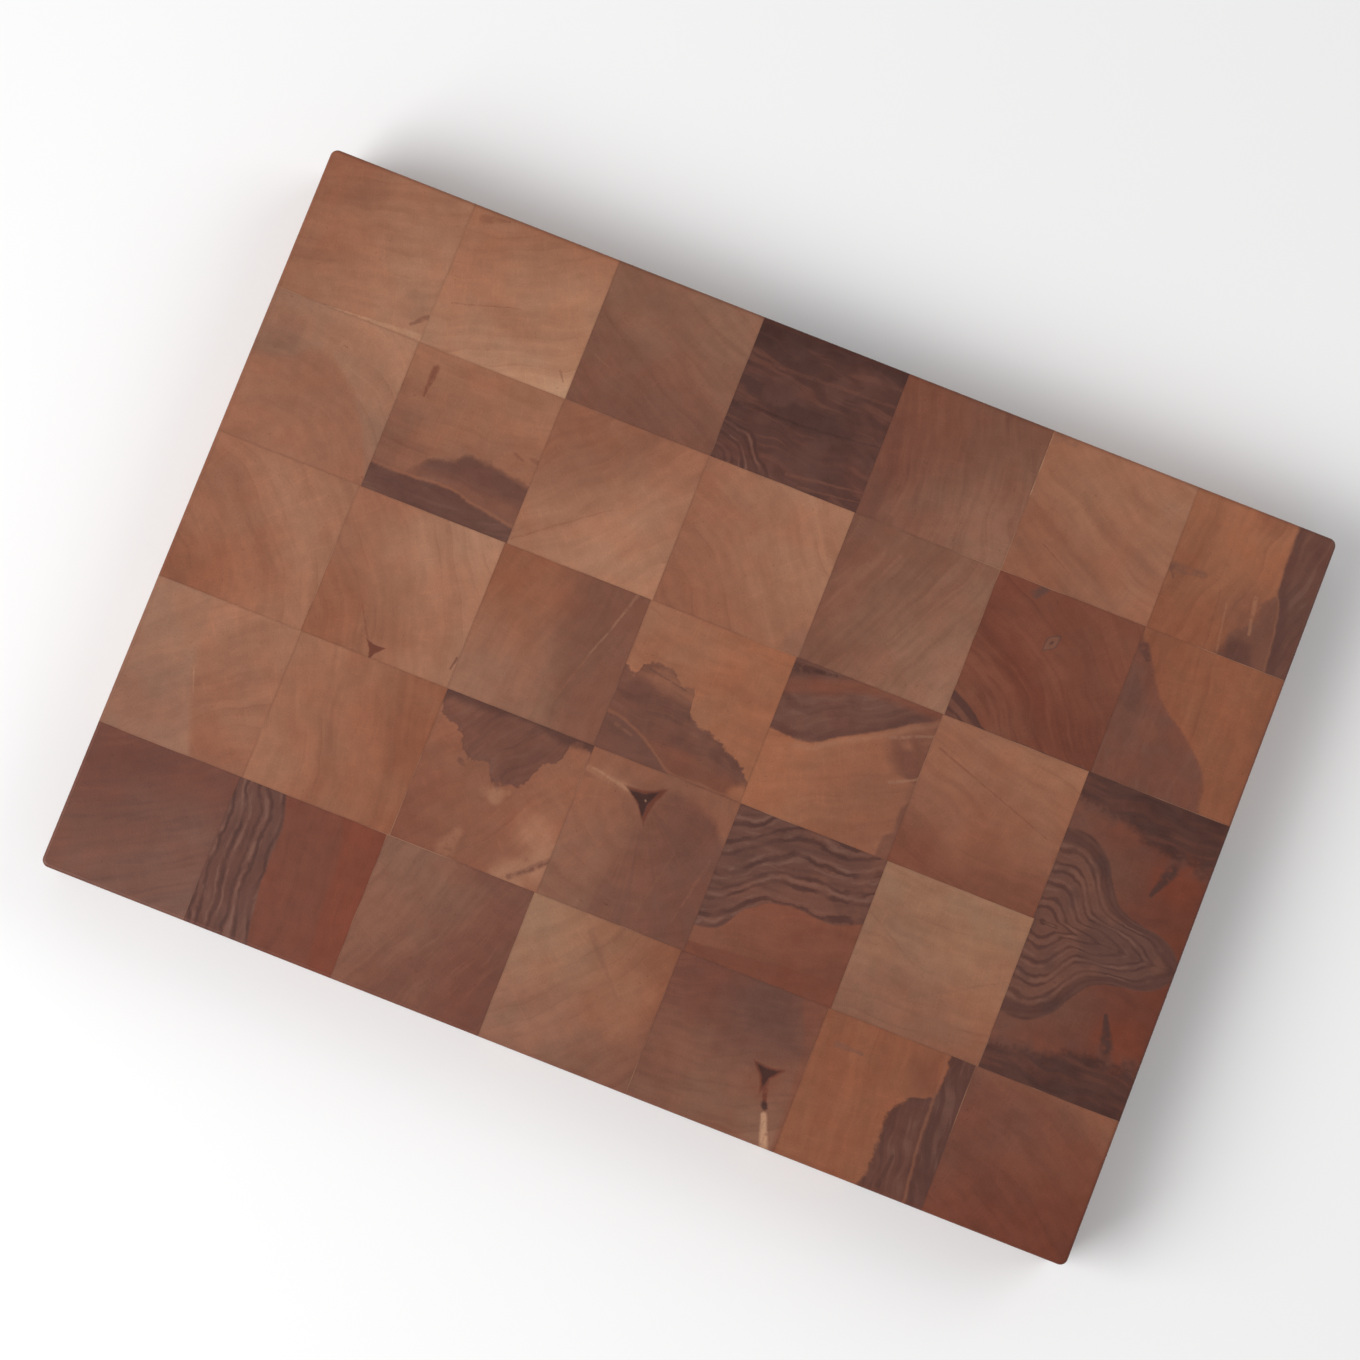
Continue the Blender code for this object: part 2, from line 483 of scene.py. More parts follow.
nodes.feed(result["Swell"], stretched(age, 3.0, turned, 0.9))
nodes.feed(result["Band"], stretched(age, 7.0, turned, 0.8))
nodes.feed(result["Streak"], stretched(age, 24.0, turned, 2.5))
nodes.feed(result["Ray"], nodes.ramp(stretched(age, 6.0, turned, 60.0), 0.55, 0.75))
nodes.feed(result["Fleck"], nodes.ramp(stretched(age, 70.0, turned, 30.0), 0.68, 0.78))
nodes.feed(result["Spoke"], stretched(distance, 1.2, angle, 11.0))
print("with bands, streaks and rays:", len(rings_group.nodes), "nodes")

# %% [markdown]
# ## Strokes
# A pale vein, a drying crack and a fleck are all a line that tapers from one point to another. Each
# could be a thin piece of mesh, but they lie in the wood and not on it. The group finds the nearest
# point of the line, compares the distance to it with the line's width there, and lets the line tremble
# and fade a little, as if it were drawn by hand.

# %% Strokes
TREMOR_SCALE = 14.0
TREMOR = 0.016
PRESS_SCALE = 26.0
LIGHTEST_PRESS = 0.35

stroke_group, nodes, given, result = new_group(
    "stroke",
    {"Place": VECTOR, "From": VECTOR, "To": VECTOR, "Width": FLOAT, "Tip": FLOAT},
    {"Mask": FLOAT},
)
tremor = nodes.swing(given["Place"], TREMOR_SCALE, TREMOR)
pen = nodes.vector("ADD", nodes.flat(given["Place"]), nodes.join(tremor, tremor))
run = nodes.vector("SUBTRACT", given["To"], given["From"])
back = nodes.vector("SUBTRACT", pen, given["From"])
along = nodes.vector("DOT_PRODUCT", back, run, output=1)
along = nodes.math("DIVIDE", along, nodes.vector("DOT_PRODUCT", run, run, output=1))
share = nodes.ramp(along, 0.0, 1.0)
share.node.interpolation_type = "LINEAR"
foot = nodes.vector("SCALE", run)
nodes.feed(foot.node.inputs["Scale"], share)
aside = nodes.vector("DISTANCE", back, foot, output=1)
half = nodes.ramp(share, 0.0, 1.0, given["Width"], given["Tip"])
press = nodes.ramp(nodes.noise(given["Place"], PRESS_SCALE), 0.30, 0.52, LIGHTEST_PRESS, 1.0)
line = nodes.ramp(nodes.math("DIVIDE", aside, half), 1.55, 0.45)
nodes.feed(result["Mask"], nodes.math("MULTIPLY", line, press))
print("stroke:", len(stroke_group.nodes), "nodes")

# %% [markdown]
# ## Pith stars
# The pith of a branch dries into a small dark hole with three corners and hollow sides. A triangle
# drawn with three strokes has straight sides, so the group uses a circle instead, whose radius is
# largest at three angles and shrinks quickly between them.

# %% Pith stars
CORNERS = 3
HOLLOW = 1.7
CRUMBLE_SCALE = 22.0
CRUMBLE = 0.02

star_group, nodes, given, result = new_group(
    "pith star",
    {"Place": VECTOR, "Centre": VECTOR, "Size": FLOAT, "Turn": FLOAT},
    {"Mask": FLOAT},
)
away = nodes.vector("SUBTRACT", nodes.flat(given["Place"]), given["Centre"])
away_x, away_y, _ = nodes.split(away)
turned = nodes.math("SUBTRACT", nodes.math("ARCTAN2", away_y, away_x), given["Turn"])
side = nodes.math("ABSOLUTE", nodes.math("SINE", nodes.math("MULTIPLY", turned, CORNERS / 2)))
radius = nodes.math("DIVIDE", given["Size"], nodes.math("MULTIPLY_ADD", side, HOLLOW, 1.0))
distance = nodes.vector("LENGTH", away, output=1)
distance = nodes.math("ADD", distance, nodes.swing(given["Place"], CRUMBLE_SCALE, CRUMBLE))
nodes.feed(result["Mask"], nodes.ramp(nodes.math("DIVIDE", distance, radius), 1.12, 0.72))
print("pith star:", len(star_group.nodes), "nodes")

# %% [markdown]
# ## Zone lines
# Zone lines are the thin dark contours that fungi leave where they fought over the wood, and they
# follow the outline of the stain they lie in. Drawn one by one they would be hundreds of points. The
# group reads how deep a place lies inside the stain instead, and draws where a wave of that depth is
# high. One wave alone looks like a map of a hill, so a second one, of another length, makes some lines
# strong, some weak and some missing. A paler line follows where the waves are lowest.

# %% Zone lines
SECOND_LENGTH = 1.62
SECOND_HEIGHT = 0.75

zone_group, nodes, given, result = new_group(
    "zone lines",
    {"Place": VECTOR, "Field": FLOAT, "Count": FLOAT, "Waver": FLOAT},
    {"Dark": FLOAT, "Pale": FLOAT},
)
waver = nodes.swing(given["Place"], 4.5, 1.0, 3.0)
waver = nodes.math("ADD", waver, nodes.swing(given["Place"], 13.0, 0.2))
waver = nodes.math("MULTIPLY", waver, given["Waver"])
phase = nodes.math("MULTIPLY_ADD", given["Field"], given["Count"], waver)
wave = nodes.math("SINE", nodes.math("MULTIPLY", phase, math.tau))
drift = nodes.swing(given["Place"], 2.2, 3.0)
second = nodes.math("SINE", nodes.math("MULTIPLY_ADD", phase, math.tau * SECOND_LENGTH, drift))
height = nodes.math("MULTIPLY_ADD", second, SECOND_HEIGHT, wave)
press = nodes.ramp(nodes.noise(given["Place"], 6.0), 0.3, 0.6, 0.3, 1.0)
nodes.feed(result["Dark"], nodes.math("MULTIPLY", nodes.ramp(height, -0.1, 1.2), press))
press = nodes.ramp(nodes.noise(given["Place"], 9.0), 0.38, 0.62, 0.15, 1.0)
nodes.feed(result["Pale"], nodes.math("MULTIPLY", nodes.ramp(height, -0.55, -1.35), press))
print("zone lines:", len(zone_group.nodes), "nodes")

# %% [markdown]
# ## Joints
# In a joint, the film of glue shows as a hair-thin line, pale where it is thick and almost unseen where
# the clamps squeezed it out, and beside it is a painted shadow line, a little darker. The group finds
# both from the distance to the nearest joint, in metres, so they keep their width on every block.

# %% Joints
FILM_INNER = 0.00012
FILM_OUTER = 0.00022
JOINT_SHADOW_WIDTH = 0.0009

joint_group, nodes, given, result = new_group(
    "joints",
    {"Object": VECTOR, "Low": VECTOR, "High": VECTOR},
    {"Film": FLOAT, "Beside": FLOAT},
)
from_low = nodes.vector("SUBTRACT", given["Object"], given["Low"])
from_high = nodes.vector("SUBTRACT", given["High"], given["Object"])
nearer_x, nearer_y, _ = nodes.split(nodes.vector("MINIMUM", from_low, from_high))
nearest = nodes.math("MINIMUM", nearer_x, nearer_y)
nodes.feed(result["Film"], nodes.ramp(nearest, FILM_OUTER, FILM_INNER))
# Beside: a painted shadow line, darker wood along each joint.
nodes.feed(result["Beside"], nodes.ramp(nearest, JOINT_SHADOW_WIDTH, 0.0))
print("joints:", len(joint_group.nodes), "nodes")

# %% [markdown]
# ## Worn edges
# Along the outside, hands and cloths have rubbed the eased edges smoother and slightly darker. The
# Pointiness of the Geometry node would find edges too, but it depends on how finely the mesh is cut,
# and it would mark the joints as well. The distance to the board's own outline marks just its edges.

# %% Worn edges
WORN_INNER = 0.0004
WORN_OUTER = 0.0024
RUB_SCALE = 90.0
RUB = 0.0012

edge_group, nodes, given, result = new_group("worn edges", {"Object": VECTOR}, {"Worn": FLOAT})
centre = (cad_low + cad_high) / 2
half_size = (cad_high - cad_low) / 2
inwards = nodes.vector("ABSOLUTE", nodes.vector("SUBTRACT", given["Object"], centre))
inwards_x, inwards_y, inwards_z = nodes.split(nodes.vector("SUBTRACT", half_size, inwards))
from_side = nodes.math("MINIMUM", inwards_x, inwards_y)
from_edge = nodes.math("MAXIMUM", from_side, inwards_z)
from_edge = nodes.math("ADD", from_edge, nodes.swing(given["Object"], RUB_SCALE, RUB))
nodes.feed(result["Worn"], nodes.ramp(from_edge, WORN_OUTER, WORN_INNER))
print("worn edges:", len(edge_group.nodes), "nodes")

# %% [markdown]
# ## Tones
# These are the wood's colours as the eye names them, from the pale sapwood side of a stick to the dark
# stained heart, on the 0 to 255 scale of a paint program. A shader wants numbers that measure light, so
# `linear` converts them. It also takes off the thin white sheen that the oiled surface adds to every
# colour, which would otherwise make the dark tones look dusty.

# %% Tones
TONES = {
    "cream": (176, 134, 106),
    "light tan": (163, 118, 93),
    "tan": (156, 110, 86),
    "sage": (152, 113, 89),
    "amber": (151, 103, 79),
    "orange": (151, 98, 72),
    "clay": (146, 106, 85),
    "pink tan": (146, 99, 77),
    "grey tan": (139, 99, 80),
    "rosy": (138, 91, 70),
    "russet": (137, 86, 63),
    "taupe": (131, 92, 74),
    "brown": (122, 82, 66),
    "brick": (122, 75, 58),
    "ash": (119, 85, 73),
    "garnet": (118, 62, 45),
    "red": (116, 68, 53),
    "umber": (112, 73, 60),
    "mulberry": (108, 66, 54),
    "ember": (104, 58, 45),
    "plum": (100, 68, 59),
    "dusk": (91, 60, 53),
    "chocolate": (80, 53, 47),
    "soot": (64, 42, 38),
}
WOOD_LEVEL = 0.93
SHEEN_LEVEL = 0.016


def linear(tone):
    """A named tone as linear colour, less the sheen."""
    channels = [((channel / 255 + 0.055) / 1.055) ** 2.4 for channel in TONES[tone]]
    return (*[(channel - SHEEN_LEVEL) * WOOD_LEVEL for channel in channels], 1.0)


print("tones:", len(TONES), " soot in light:", [round(channel, 4) for channel in linear("soot")[:3]])

# %% [markdown]
# ## Bare wood
# Each block's finish is painted in steps: first the bare wood, then the stains and marks in it, then
# glue, oil and wear. A place inside a block is given in shares of it: x runs from 0 at the -X side to 1,
# and y from 0 at the +Y side to 1. The wood starts as four tones, one at each corner, that melt into
# each other, because a stick is rarely one colour from side to side. Rings, bands and rays go over
# that. It could all be one long class, but the steps are easier to follow one at a time, so the next
# four classes each add a few to this one.

# %% Bare wood
LONG_GRAIN = 0.05
SLICE_STEP = 3.7
RING_TINT = (0.60, 0.47, 0.41, 1.0)
RAY_TINT = (1.16, 1.14, 1.12, 1.0)
RAY_AMOUNT = 0.45
BAND_SHARE = 0.55
MELT = 0.9


class BareWood:
    """The wood of one block while it is painted: its nodes, its place, its colour and its relief."""

    def __init__(self, row, column, tones, pith, rings=9.0, contrast=0.5, wander=0.25, like=None):
        self.row = row
        self.column = column
        self.finish = bpy.data.materials.new(f"wood of row {row} column {column}")
        self.finish.use_nodes = True
        tree = self.finish.node_tree
        self.shader = tree.nodes["Principled BSDF"]
        self.nodes = Nodes(tree)
        self.here = self.nodes.put("ShaderNodeTexCoord", {}, "Object")
        self.place = self.share_of_block(like)
        self.x, self.y, _ = self.nodes.split(self.place)
        self.colour = self.ground(tones)
        self.dents = 0.0
        self.add_rings(pith, rings, contrast, wander)

    def share_of_block(self, like):
        """Object coordinates, moved and scaled to shares of the block. A twin is mirrored in Y."""
        low, high = cell_of(self.row, self.column)
        size = high - low
        tall = -1 / size.y
        top = high.y / size.y
        slice_number = len(COLUMNS) * self.row + self.column
        if like:
            tall = 1 / size.y
            top = -low.y / size.y
            slice_number = len(COLUMNS) * like[0] + like[1]
        values = {
            "Vector": self.here,
            "Location": (-low.x / size.x, top, slice_number * SLICE_STEP),
            "Scale": (1 / size.x, tall, LONG_GRAIN / size.x),
        }
        return self.nodes.put("ShaderNodeMapping", values)

    def ground(self, tones):
        """Four corner tones, in the order of reading, that melt into each other unevenly."""
        n = self.nodes
        right = n.ramp(n.math("ADD", self.x, n.swing(self.place, 2.1, MELT)), -0.05, 1.05)
        down = n.ramp(n.math("ADD", self.y, n.swing(self.place, 1.9, MELT)), -0.05, 1.05)
        top = n.mix(right, linear(tones[0]), linear(tones[1]))
        bottom = n.mix(right, linear(tones[2]), linear(tones[3]))
        return n.mix(down, top, bottom)

    def add_rings(self, pith, rings, contrast, wander):
        """Lay growth rings, colour bands and rays over the ground."""
        n = self.nodes
        values = {"Place": self.place, "Pith": (*pith, 0.0), "Count": rings, "Wander": wander}
        self.rings = n.group(rings_group, "Line", **values)
        strength = n.math("MULTIPLY", self.rings, contrast)
        bands = n.ramp(self.grain("Band"), 0.45, 0.75, 0.0, contrast * BAND_SHARE)
        self.tint(n.math("ADD", strength, bands), RING_TINT)
        self.tint(n.math("MULTIPLY", self.grain("Ray"), RAY_AMOUNT), RAY_TINT)

    def grain(self, name):
        """One of the patterns that follow the rings."""
        return self.rings.node.outputs[name]

    def tint(self, strength, tint):
        """Multiply the colour by a tint."""
        tinted = self.nodes.mix(1.0, self.colour, tint, "MULTIPLY")
        self.colour = self.nodes.mix(strength, self.colour, tinted)

    def lay(self, mask, tone, amount=1.0):
        """Lay a tone over the wood where a mask says."""
        strength = self.nodes.math("MULTIPLY", mask, amount)
        self.colour = self.nodes.mix(strength, self.colour, linear(tone))


# %% [markdown]
# ## Outlines
# Most stains lie on one side of a wavy line. A painted mask would need an image, so the line is a Float
# Curve through a few points, read at x or y. The distance past the curve is the depth inside the stain,
# and a ramp over that depth makes a mask. Noise added to the depth first makes the edge ragged. The
# curve's handles are clamped, so it never swings past its own points.

# %% Outlines
BAND_SCALE = 9.0
BAND_WAVER = 0.03


class ShapedWood(BareWood):
    """Adds outlines, and the masks that they make."""

    def outline(self, along, points):
        """A curve through a few points, read at x or y."""
        reader = self.nodes.put("ShaderNodeFloatCurve", {"Value": along})
        curve = reader.node.mapping.curves[0]
        curve.points[0].location = points[0]
        curve.points[-1].location = points[-1]
        for point in points[1:-1]:
            curve.points.new(*point)
        for point in curve.points:
            point.handle_type = "AUTO_CLAMPED"
        reader.node.mapping.update()
        return reader

    def above(self, points):
        """Depth above a curve of y over x: positive on its +Y side."""
        return self.nodes.math("SUBTRACT", self.outline(self.x, points), self.y)

    def below(self, points):
        """Depth below a curve of y over x."""
        return self.nodes.math("SUBTRACT", self.y, self.outline(self.x, points))

    def left_of(self, points):
        """Depth on the -X side of a curve of x over y."""
        return self.nodes.math("SUBTRACT", self.outline(self.y, points), self.x)

    def right_of(self, points):
        """Depth on the +X side of a curve of x over y."""
        return self.nodes.math("SUBTRACT", self.x, self.outline(self.y, points))

    def ragged(self, depth, rough, soft, grain=7.0):
        """Turn a depth inside an outline into a mask with an uneven edge."""
        depth = self.nodes.math("ADD", depth, self.nodes.swing(self.place, grain, rough, 4.0))
        return self.nodes.ramp(depth, -soft, soft)

    def band(self, depth, start, end, soft=0.008):
        """The part of an outline's depth that lies between two values."""
        n = self.nodes
        depth = n.math("ADD", depth, n.swing(self.place, BAND_SCALE, BAND_WAVER))
        return self.both(n.ramp(depth, start - soft, start + soft), n.ramp(depth, end + soft, end - soft))

    def both(self, first, second):
        """Where two masks hold together."""
        return self.nodes.math("MULTIPLY", first, second)

    def cloudy(self, mask, low=0.35, high=0.62, grain=3.0):
        """Break a mask up into clouds."""
        return self.both(mask, self.nodes.ramp(self.nodes.noise(self.place, grain), low, high))


# %% [markdown]
# ## Stains
# A stain spreads through the tree along its rings. One flat tone inside an outline looks like a
# sticker, so a stain is laid in four coats: the tone itself, streaks that follow the rings, darker
# clouds, and a darker rim where the spread stopped. A soft round patch and a stain round a point, whose
# outline is a distance over an angle, cover the stains that no wavy line can outline.

# %% Stains
STAIN_COAT = 0.88
STREAK_COAT = 0.35
CLOUD_COAT = 0.45
RIM_COAT = 0.30
RIM_DEPTH = 0.05
WIDEST_ANGLE = math.radians(100)


class StainedWood(ShapedWood):
    """Adds stains and patches."""

    def stain(self, depth, tone, dark, rough, soft=0.012, within=1.0, pale="ash"):
        """Lay a stain with a ragged outline, a darker rim and streaks along the rings. Returns its mask."""
        n = self.nodes
        uneven = n.math("ADD", depth, n.swing(self.place, 9.0, rough * 1.6, 4.0))
        uneven = n.math("ADD", uneven, n.swing(self.place, 30.0, rough))
        mask = n.ramp(uneven, -soft, soft)
        self.lay(self.both(mask, within), tone, STAIN_COAT)
        self.streaks(mask, dark, pale, STREAK_COAT)
        self.lay(self.cloudy(mask, 0.44, 0.66, 4.0), dark, CLOUD_COAT)
        self.lay(self.both(mask, n.ramp(uneven, RIM_DEPTH, 0.0)), dark, RIM_COAT)
        return mask

    def streaks(self, mask, dark, pale, amount):
        """Lay dark and pale streaks that follow the rings."""
        ramp = self.nodes.ramp
        self.lay(self.both(mask, ramp(self.grain("Streak"), 0.50, 0.66)), dark, amount)
        self.lay(self.both(mask, ramp(self.grain("Streak"), 0.46, 0.32)), pale, amount)

    def spokes(self, mask, tone, amount):
        """Lay streaks that run outwards from the pith."""
        self.lay(self.both(mask, self.nodes.ramp(self.grain("Spoke"), 0.46, 0.62)), tone, amount)

    def halo(self, centre, near, far, tone, amount):
        """Lay a soft round patch."""
        n = self.nodes
        away = n.vector("DISTANCE", n.join(self.x, self.y), (*centre, 0.0), output=1)
        away = n.math("ADD", away, n.swing(self.place, 5.0, (far - near) * 1.4))
        self.lay(n.ramp(away, far, near), tone, amount)

    def round_stain(self, centre, reach, rough):
        """A stain round a point: its mask, how far out each place lies, with its outline at 1, and the
        angle. reach is the outline's distance over the angle, which is 0 on the +X side and 1 just past
        the +Y side, so such a stain lies in the lower left of its block."""
        n = self.nodes
        away_x = n.math("SUBTRACT", self.x, centre[0])
        away_y = n.math("SUBTRACT", centre[1], self.y)
        angle = n.math("DIVIDE", n.math("ARCTAN2", away_y, away_x), WIDEST_ANGLE)
        distance = n.vector("LENGTH", n.join(away_x, away_y), output=1)
        rim = n.math("SUBTRACT", self.outline(angle, reach), reach[-1][1])
        rim = n.math("MULTIPLY_ADD", rim, n.ramp(distance, 0.05, 0.45), reach[-1][1])
        field = n.math("DIVIDE", distance, rim)
        uneven = n.math("ADD", field, n.swing(self.place, 8.0, rough * 2.2, 4.0))
        return n.ramp(uneven, 1.02, 0.98), field, angle


# %% [markdown]
# ## Marks
# The groups for strokes, stars and zone lines become methods here, and one more mark joins them: a pin
# knot, the end of a thin twig, which looks like a small slanting eye. It is a diamond with soft sides,
# made of three tones from the bark line inwards. A star also sinks into the surface, since the pith has
# dried out of it, and its dark tone is partly the pith's own colour and partly painted shade in that hollow.

# %% Marks
EYE_CURVE = 1.25
PALE_SHARE = 0.8


class MarkedWood(StainedWood):
    """Adds the marks."""

    def stroke(self, start, end, width, tip, tone, amount=1.0):
        """Draw a tapering line between two places."""
        values = {"Place": self.place, "From": (*start, 0.0), "To": (*end, 0.0), "Width": width, "Tip": tip}
        self.lay(self.nodes.group(stroke_group, "Mask", **values), tone, amount)

    def star(self, centre, size, turn, tone, amount):
        """Draw a three-cornered pith, dark in its own colour and with painted shade in its hollow."""
        values = {"Place": self.place, "Centre": (*centre, 0.0), "Size": size, "Turn": math.radians(turn)}
        mask = self.nodes.group(star_group, "Mask", **values)
        self.lay(mask, tone, amount)
        self.dents = self.nodes.math("ADD", mask, self.dents)

    def eye(self, centre, length, width, turn):
        """Draw a pin knot: a dark bark line round pale wood, and a dark middle."""
        n = self.nodes
        values = {
            "Vector": n.vector("SUBTRACT", n.join(self.x, self.y), (*centre, 0.0)),
            "Rotation": (0.0, 0.0, -math.radians(turn)),
        }
        turned_x, turned_y, _ = n.split(n.put("ShaderNodeMapping", values))
        far_x = n.math("POWER", n.math("ABSOLUTE", n.math("DIVIDE", turned_x, length)), EYE_CURVE)
        far_y = n.math("POWER", n.math("ABSOLUTE", n.math("DIVIDE", turned_y, width)), EYE_CURVE)
        far = n.math("ADD", n.math("ADD", far_x, far_y), n.swing(self.place, 20.0, 0.25))
        self.lay(n.ramp(far, 1.30, 1.00), "plum", 0.85)
        self.lay(n.ramp(far, 0.95, 0.70), "brown", 0.9)
        self.lay(n.ramp(far, 0.28, 0.08), "dusk", 0.9)

    def zone_lines(self, mask, field, count, waver, dark, pale, amount):
        """Draw contour lines inside a mask."""
        values = {"Place": self.place, "Field": field, "Count": count, "Waver": waver}
        lines = self.nodes.group(zone_group, "Dark", **values)
        self.lay(self.both(mask, lines), dark, amount)
        self.lay(self.both(mask, lines.node.outputs["Pale"]), pale, amount * PALE_SHARE)


# %% [markdown]
# ## Pores, glue, oil and wear
# Over the painted wood come the things that every block shares. Pores are fine specks, and short flecks
# lie among them. Slow swells and streaks of light and dark follow the rings, and the hue drifts between
# warmer and cooler. Last come the glue in the joints and the worn edges. The same patterns drive the
# surface: pores and late wood stand a little lower, and oiled wood is satin, smoother where it is worn.
# A sheet of clear coat could give the gloss, but oil sinks in, so the shader's own gloss is kept low.

# %% Pores, glue, oil and wear
PORE_SCALE = 160.0
CLOUD_SCALE = 11.0
WARM_TINT = (1.05, 0.97, 0.93, 1.0)
NOISE_RANGE = (0.3, 0.7)
FLECK_AMOUNT = 0.5
SATIN = (0.44, 0.58)
GLOSS = 0.35
RELIEF = 0.0002
RELIEF_STRENGTH = 0.25
LATE_WOOD_RELIEF = -0.35
DENT_RELIEF = -2.0
JOINT_SHADOW_AMOUNT = 0.14
GLUE_SCALE = 38.0
THICKEST_GLUE = 0.6
WORN_AMOUNT = 0.25
WORN_POLISH = 0.1
FAR = 1.0


class Wood(MarkedWood):
    """Adds what all blocks share, and gives the block its finish."""

    def weather(self, cloud, speck):
        """Vary the colour's lightness and warmth, and lay flecks."""
        n = self.nodes
        light = n.ramp(speck, *NOISE_RANGE, 0.93, 1.05)
        light = n.math("MULTIPLY", light, n.ramp(cloud, *NOISE_RANGE, 0.96, 1.04))
        light = n.math("MULTIPLY", light, n.ramp(self.grain("Streak"), *NOISE_RANGE, 1.04, 0.96))
        light = n.math("MULTIPLY", light, n.ramp(self.grain("Swell"), *NOISE_RANGE, 1.07, 0.93))
        self.tint(1.0, n.join(light, light, light))
        self.tint(n.ramp(n.noise(self.place, 4.0, 3.0), 0.34, 0.66), WARM_TINT)
        self.tint(n.math("MULTIPLY", self.grain("Fleck"), FLECK_AMOUNT), RING_TINT)

    def glue(self):
        """Lay the glue and the painted shadow line beside it. The board's outside is no joint."""
        low, high = cell_of(self.row, self.column)
        if self.column == COLUMNS[0]:
            low.x -= FAR
        if self.column == COLUMNS[-1]:
            high.x += FAR
        if self.row == ROWS[0]:
            high.y += FAR
        if self.row == ROWS[-1]:
            low.y -= FAR
        film = self.nodes.group(joint_group, "Film", Object=self.here, Low=low, High=high)
        thick = self.nodes.ramp(self.nodes.noise(self.here, GLUE_SCALE), 0.48, 0.72, 0.0, THICKEST_GLUE)
        # Painted shadow line: the wood beside each joint is darkened with soot.
        self.lay(film.node.outputs["Beside"], "soot", JOINT_SHADOW_AMOUNT)
        self.lay(self.both(film, thick), "light tan")

    def finished(self):
        """Add pores, glue and wear, wire up the shader, and give the block its finish."""
        n = self.nodes
        speck = n.noise(self.place, PORE_SCALE, 1.0)
        cloud = n.noise(self.place, CLOUD_SCALE, 3.0)
        self.weather(cloud, speck)
        # Glue in the joints, with a painted shadow line beside each.
        self.glue()
        worn = n.group(edge_group, "Worn", Object=self.here)
        self.lay(worn, "ember", WORN_AMOUNT)
        n.feed(self.shader.inputs["Base Color"], self.colour)
        rough = n.ramp(cloud, *NOISE_RANGE, *SATIN)
        rough = n.math("SUBTRACT", rough, n.math("MULTIPLY", worn, WORN_POLISH))
        n.feed(self.shader.inputs["Roughness"], rough)
        height = n.math("MULTIPLY_ADD", self.rings, LATE_WOOD_RELIEF, speck)
        height = n.math("MULTIPLY_ADD", self.dents, DENT_RELIEF, height)
        values = {"Strength": RELIEF_STRENGTH, "Distance": RELIEF, "Height": height}
        bump = n.put("ShaderNodeBump", values)
        n.feed(self.shader.inputs["Normal"], bump)
        self.shader.inputs["Specular IOR Level"].default_value = GLOSS
        blocks[self.row, self.column].data.materials.append(self.finish)
        print(f"row {self.row} column {self.column}: {len(n.tree.nodes)} nodes")


# %% [markdown]
# ## Row 1: three plain blocks
# The first two blocks are pinkish sapwood, with rays and rings and little else. The third is greyer, with
# a shade across its lower side. Plain wood is easily made with one noise for all of it, but the eye
# follows the arcs of the rings from block to block and would find them all alike. So each block gets a
# pith of its own, far outside it, and a few strokes for its cracks and flecks.

# %% Row 1: three plain blocks
wood = Wood(1, 1, ("rosy", "tan", "amber", "light tan"), (-0.6, -3.4))
wood.stroke((1.02, 0.97), (0.35, 1.0), 0.022, 0.004, "cream", 0.8)
wood.halo((0.90, 0.80), 0.04, 0.14, "taupe", 0.25)
wood.stroke((0.99, 0.83), (0.90, 0.91), 0.018, 0.01, "brown", 0.7)
wood.finished()

wood = Wood(1, 2, ("amber", "amber", "light tan", "cream"), (-0.9, -3.0))
wood.stroke((0.09, 0.08), (0.25, 0.03), 0.030, 0.006, "brick", 0.5)
wood.stroke((0.91, 0.84), (0.95, 0.90), 0.010, 0.004, "brown", 0.5)
wood.stroke((0.10, 0.68), (0.52, 0.55), 0.006, 0.003, "rosy", 0.6)
wood.finished()

wood = Wood(1, 3, ("taupe", "grey tan", "brown", "brown"), (2.6, -3.0))
shade = wood.ragged(wood.below([(0.0, 0.42), (0.5, 0.5), (1.0, 0.75)]), 0.25, 0.2, 2.5)
wood.lay(shade, "umber", 0.40)
wood.stroke((0.04, 0.64), (0.20, 0.70), 0.008, 0.003, "taupe", 0.6)
wood.finished()

# %% [markdown]
# ## Row 1: the dark heart
# The fourth block is nearly all dark heartwood, streaked from side to side, with a small swirl of zone
# lines in one corner. The rings already carry streaks, so those are laid over the whole block at once, and
# only the few that cross it from joint to joint are strokes. The swirl is a round stain, whose contours
# are the zone lines.

# %% Row 1: the dark heart
wood = Wood(1, 4, ("chocolate", "chocolate", "dusk", "dusk"), (0.0, 6.0), 9.0, 0.3, 0.4)
wood.streaks(1.0, "chocolate", "umber", 0.40)
wood.lay(wood.cloudy(1.0, 0.46, 0.62, 5.0), "plum", 0.50)
darkest = wood.above([(0.0, 0.2), (0.3, 0.16), (0.6, 0.08), (1.0, 0.1)])
wood.lay(wood.ragged(darkest, 0.14, 0.06), "soot", 0.6)
wood.stroke((0.0, 0.29), (1.0, 0.25), 0.014, 0.010, "umber", 0.3)
wood.stroke((0.0, 0.60), (0.45, 0.59), 0.014, 0.008, "soot", 0.45)
wood.stroke((0.42, 0.60), (1.0, 0.54), 0.010, 0.006, "soot", 0.35)
wood.stroke((0.50, 0.93), (1.0, 0.86), 0.012, 0.006, "umber", 0.6)
wood.stroke((0.60, 0.985), (1.0, 0.93), 0.010, 0.004, "umber", 0.6)
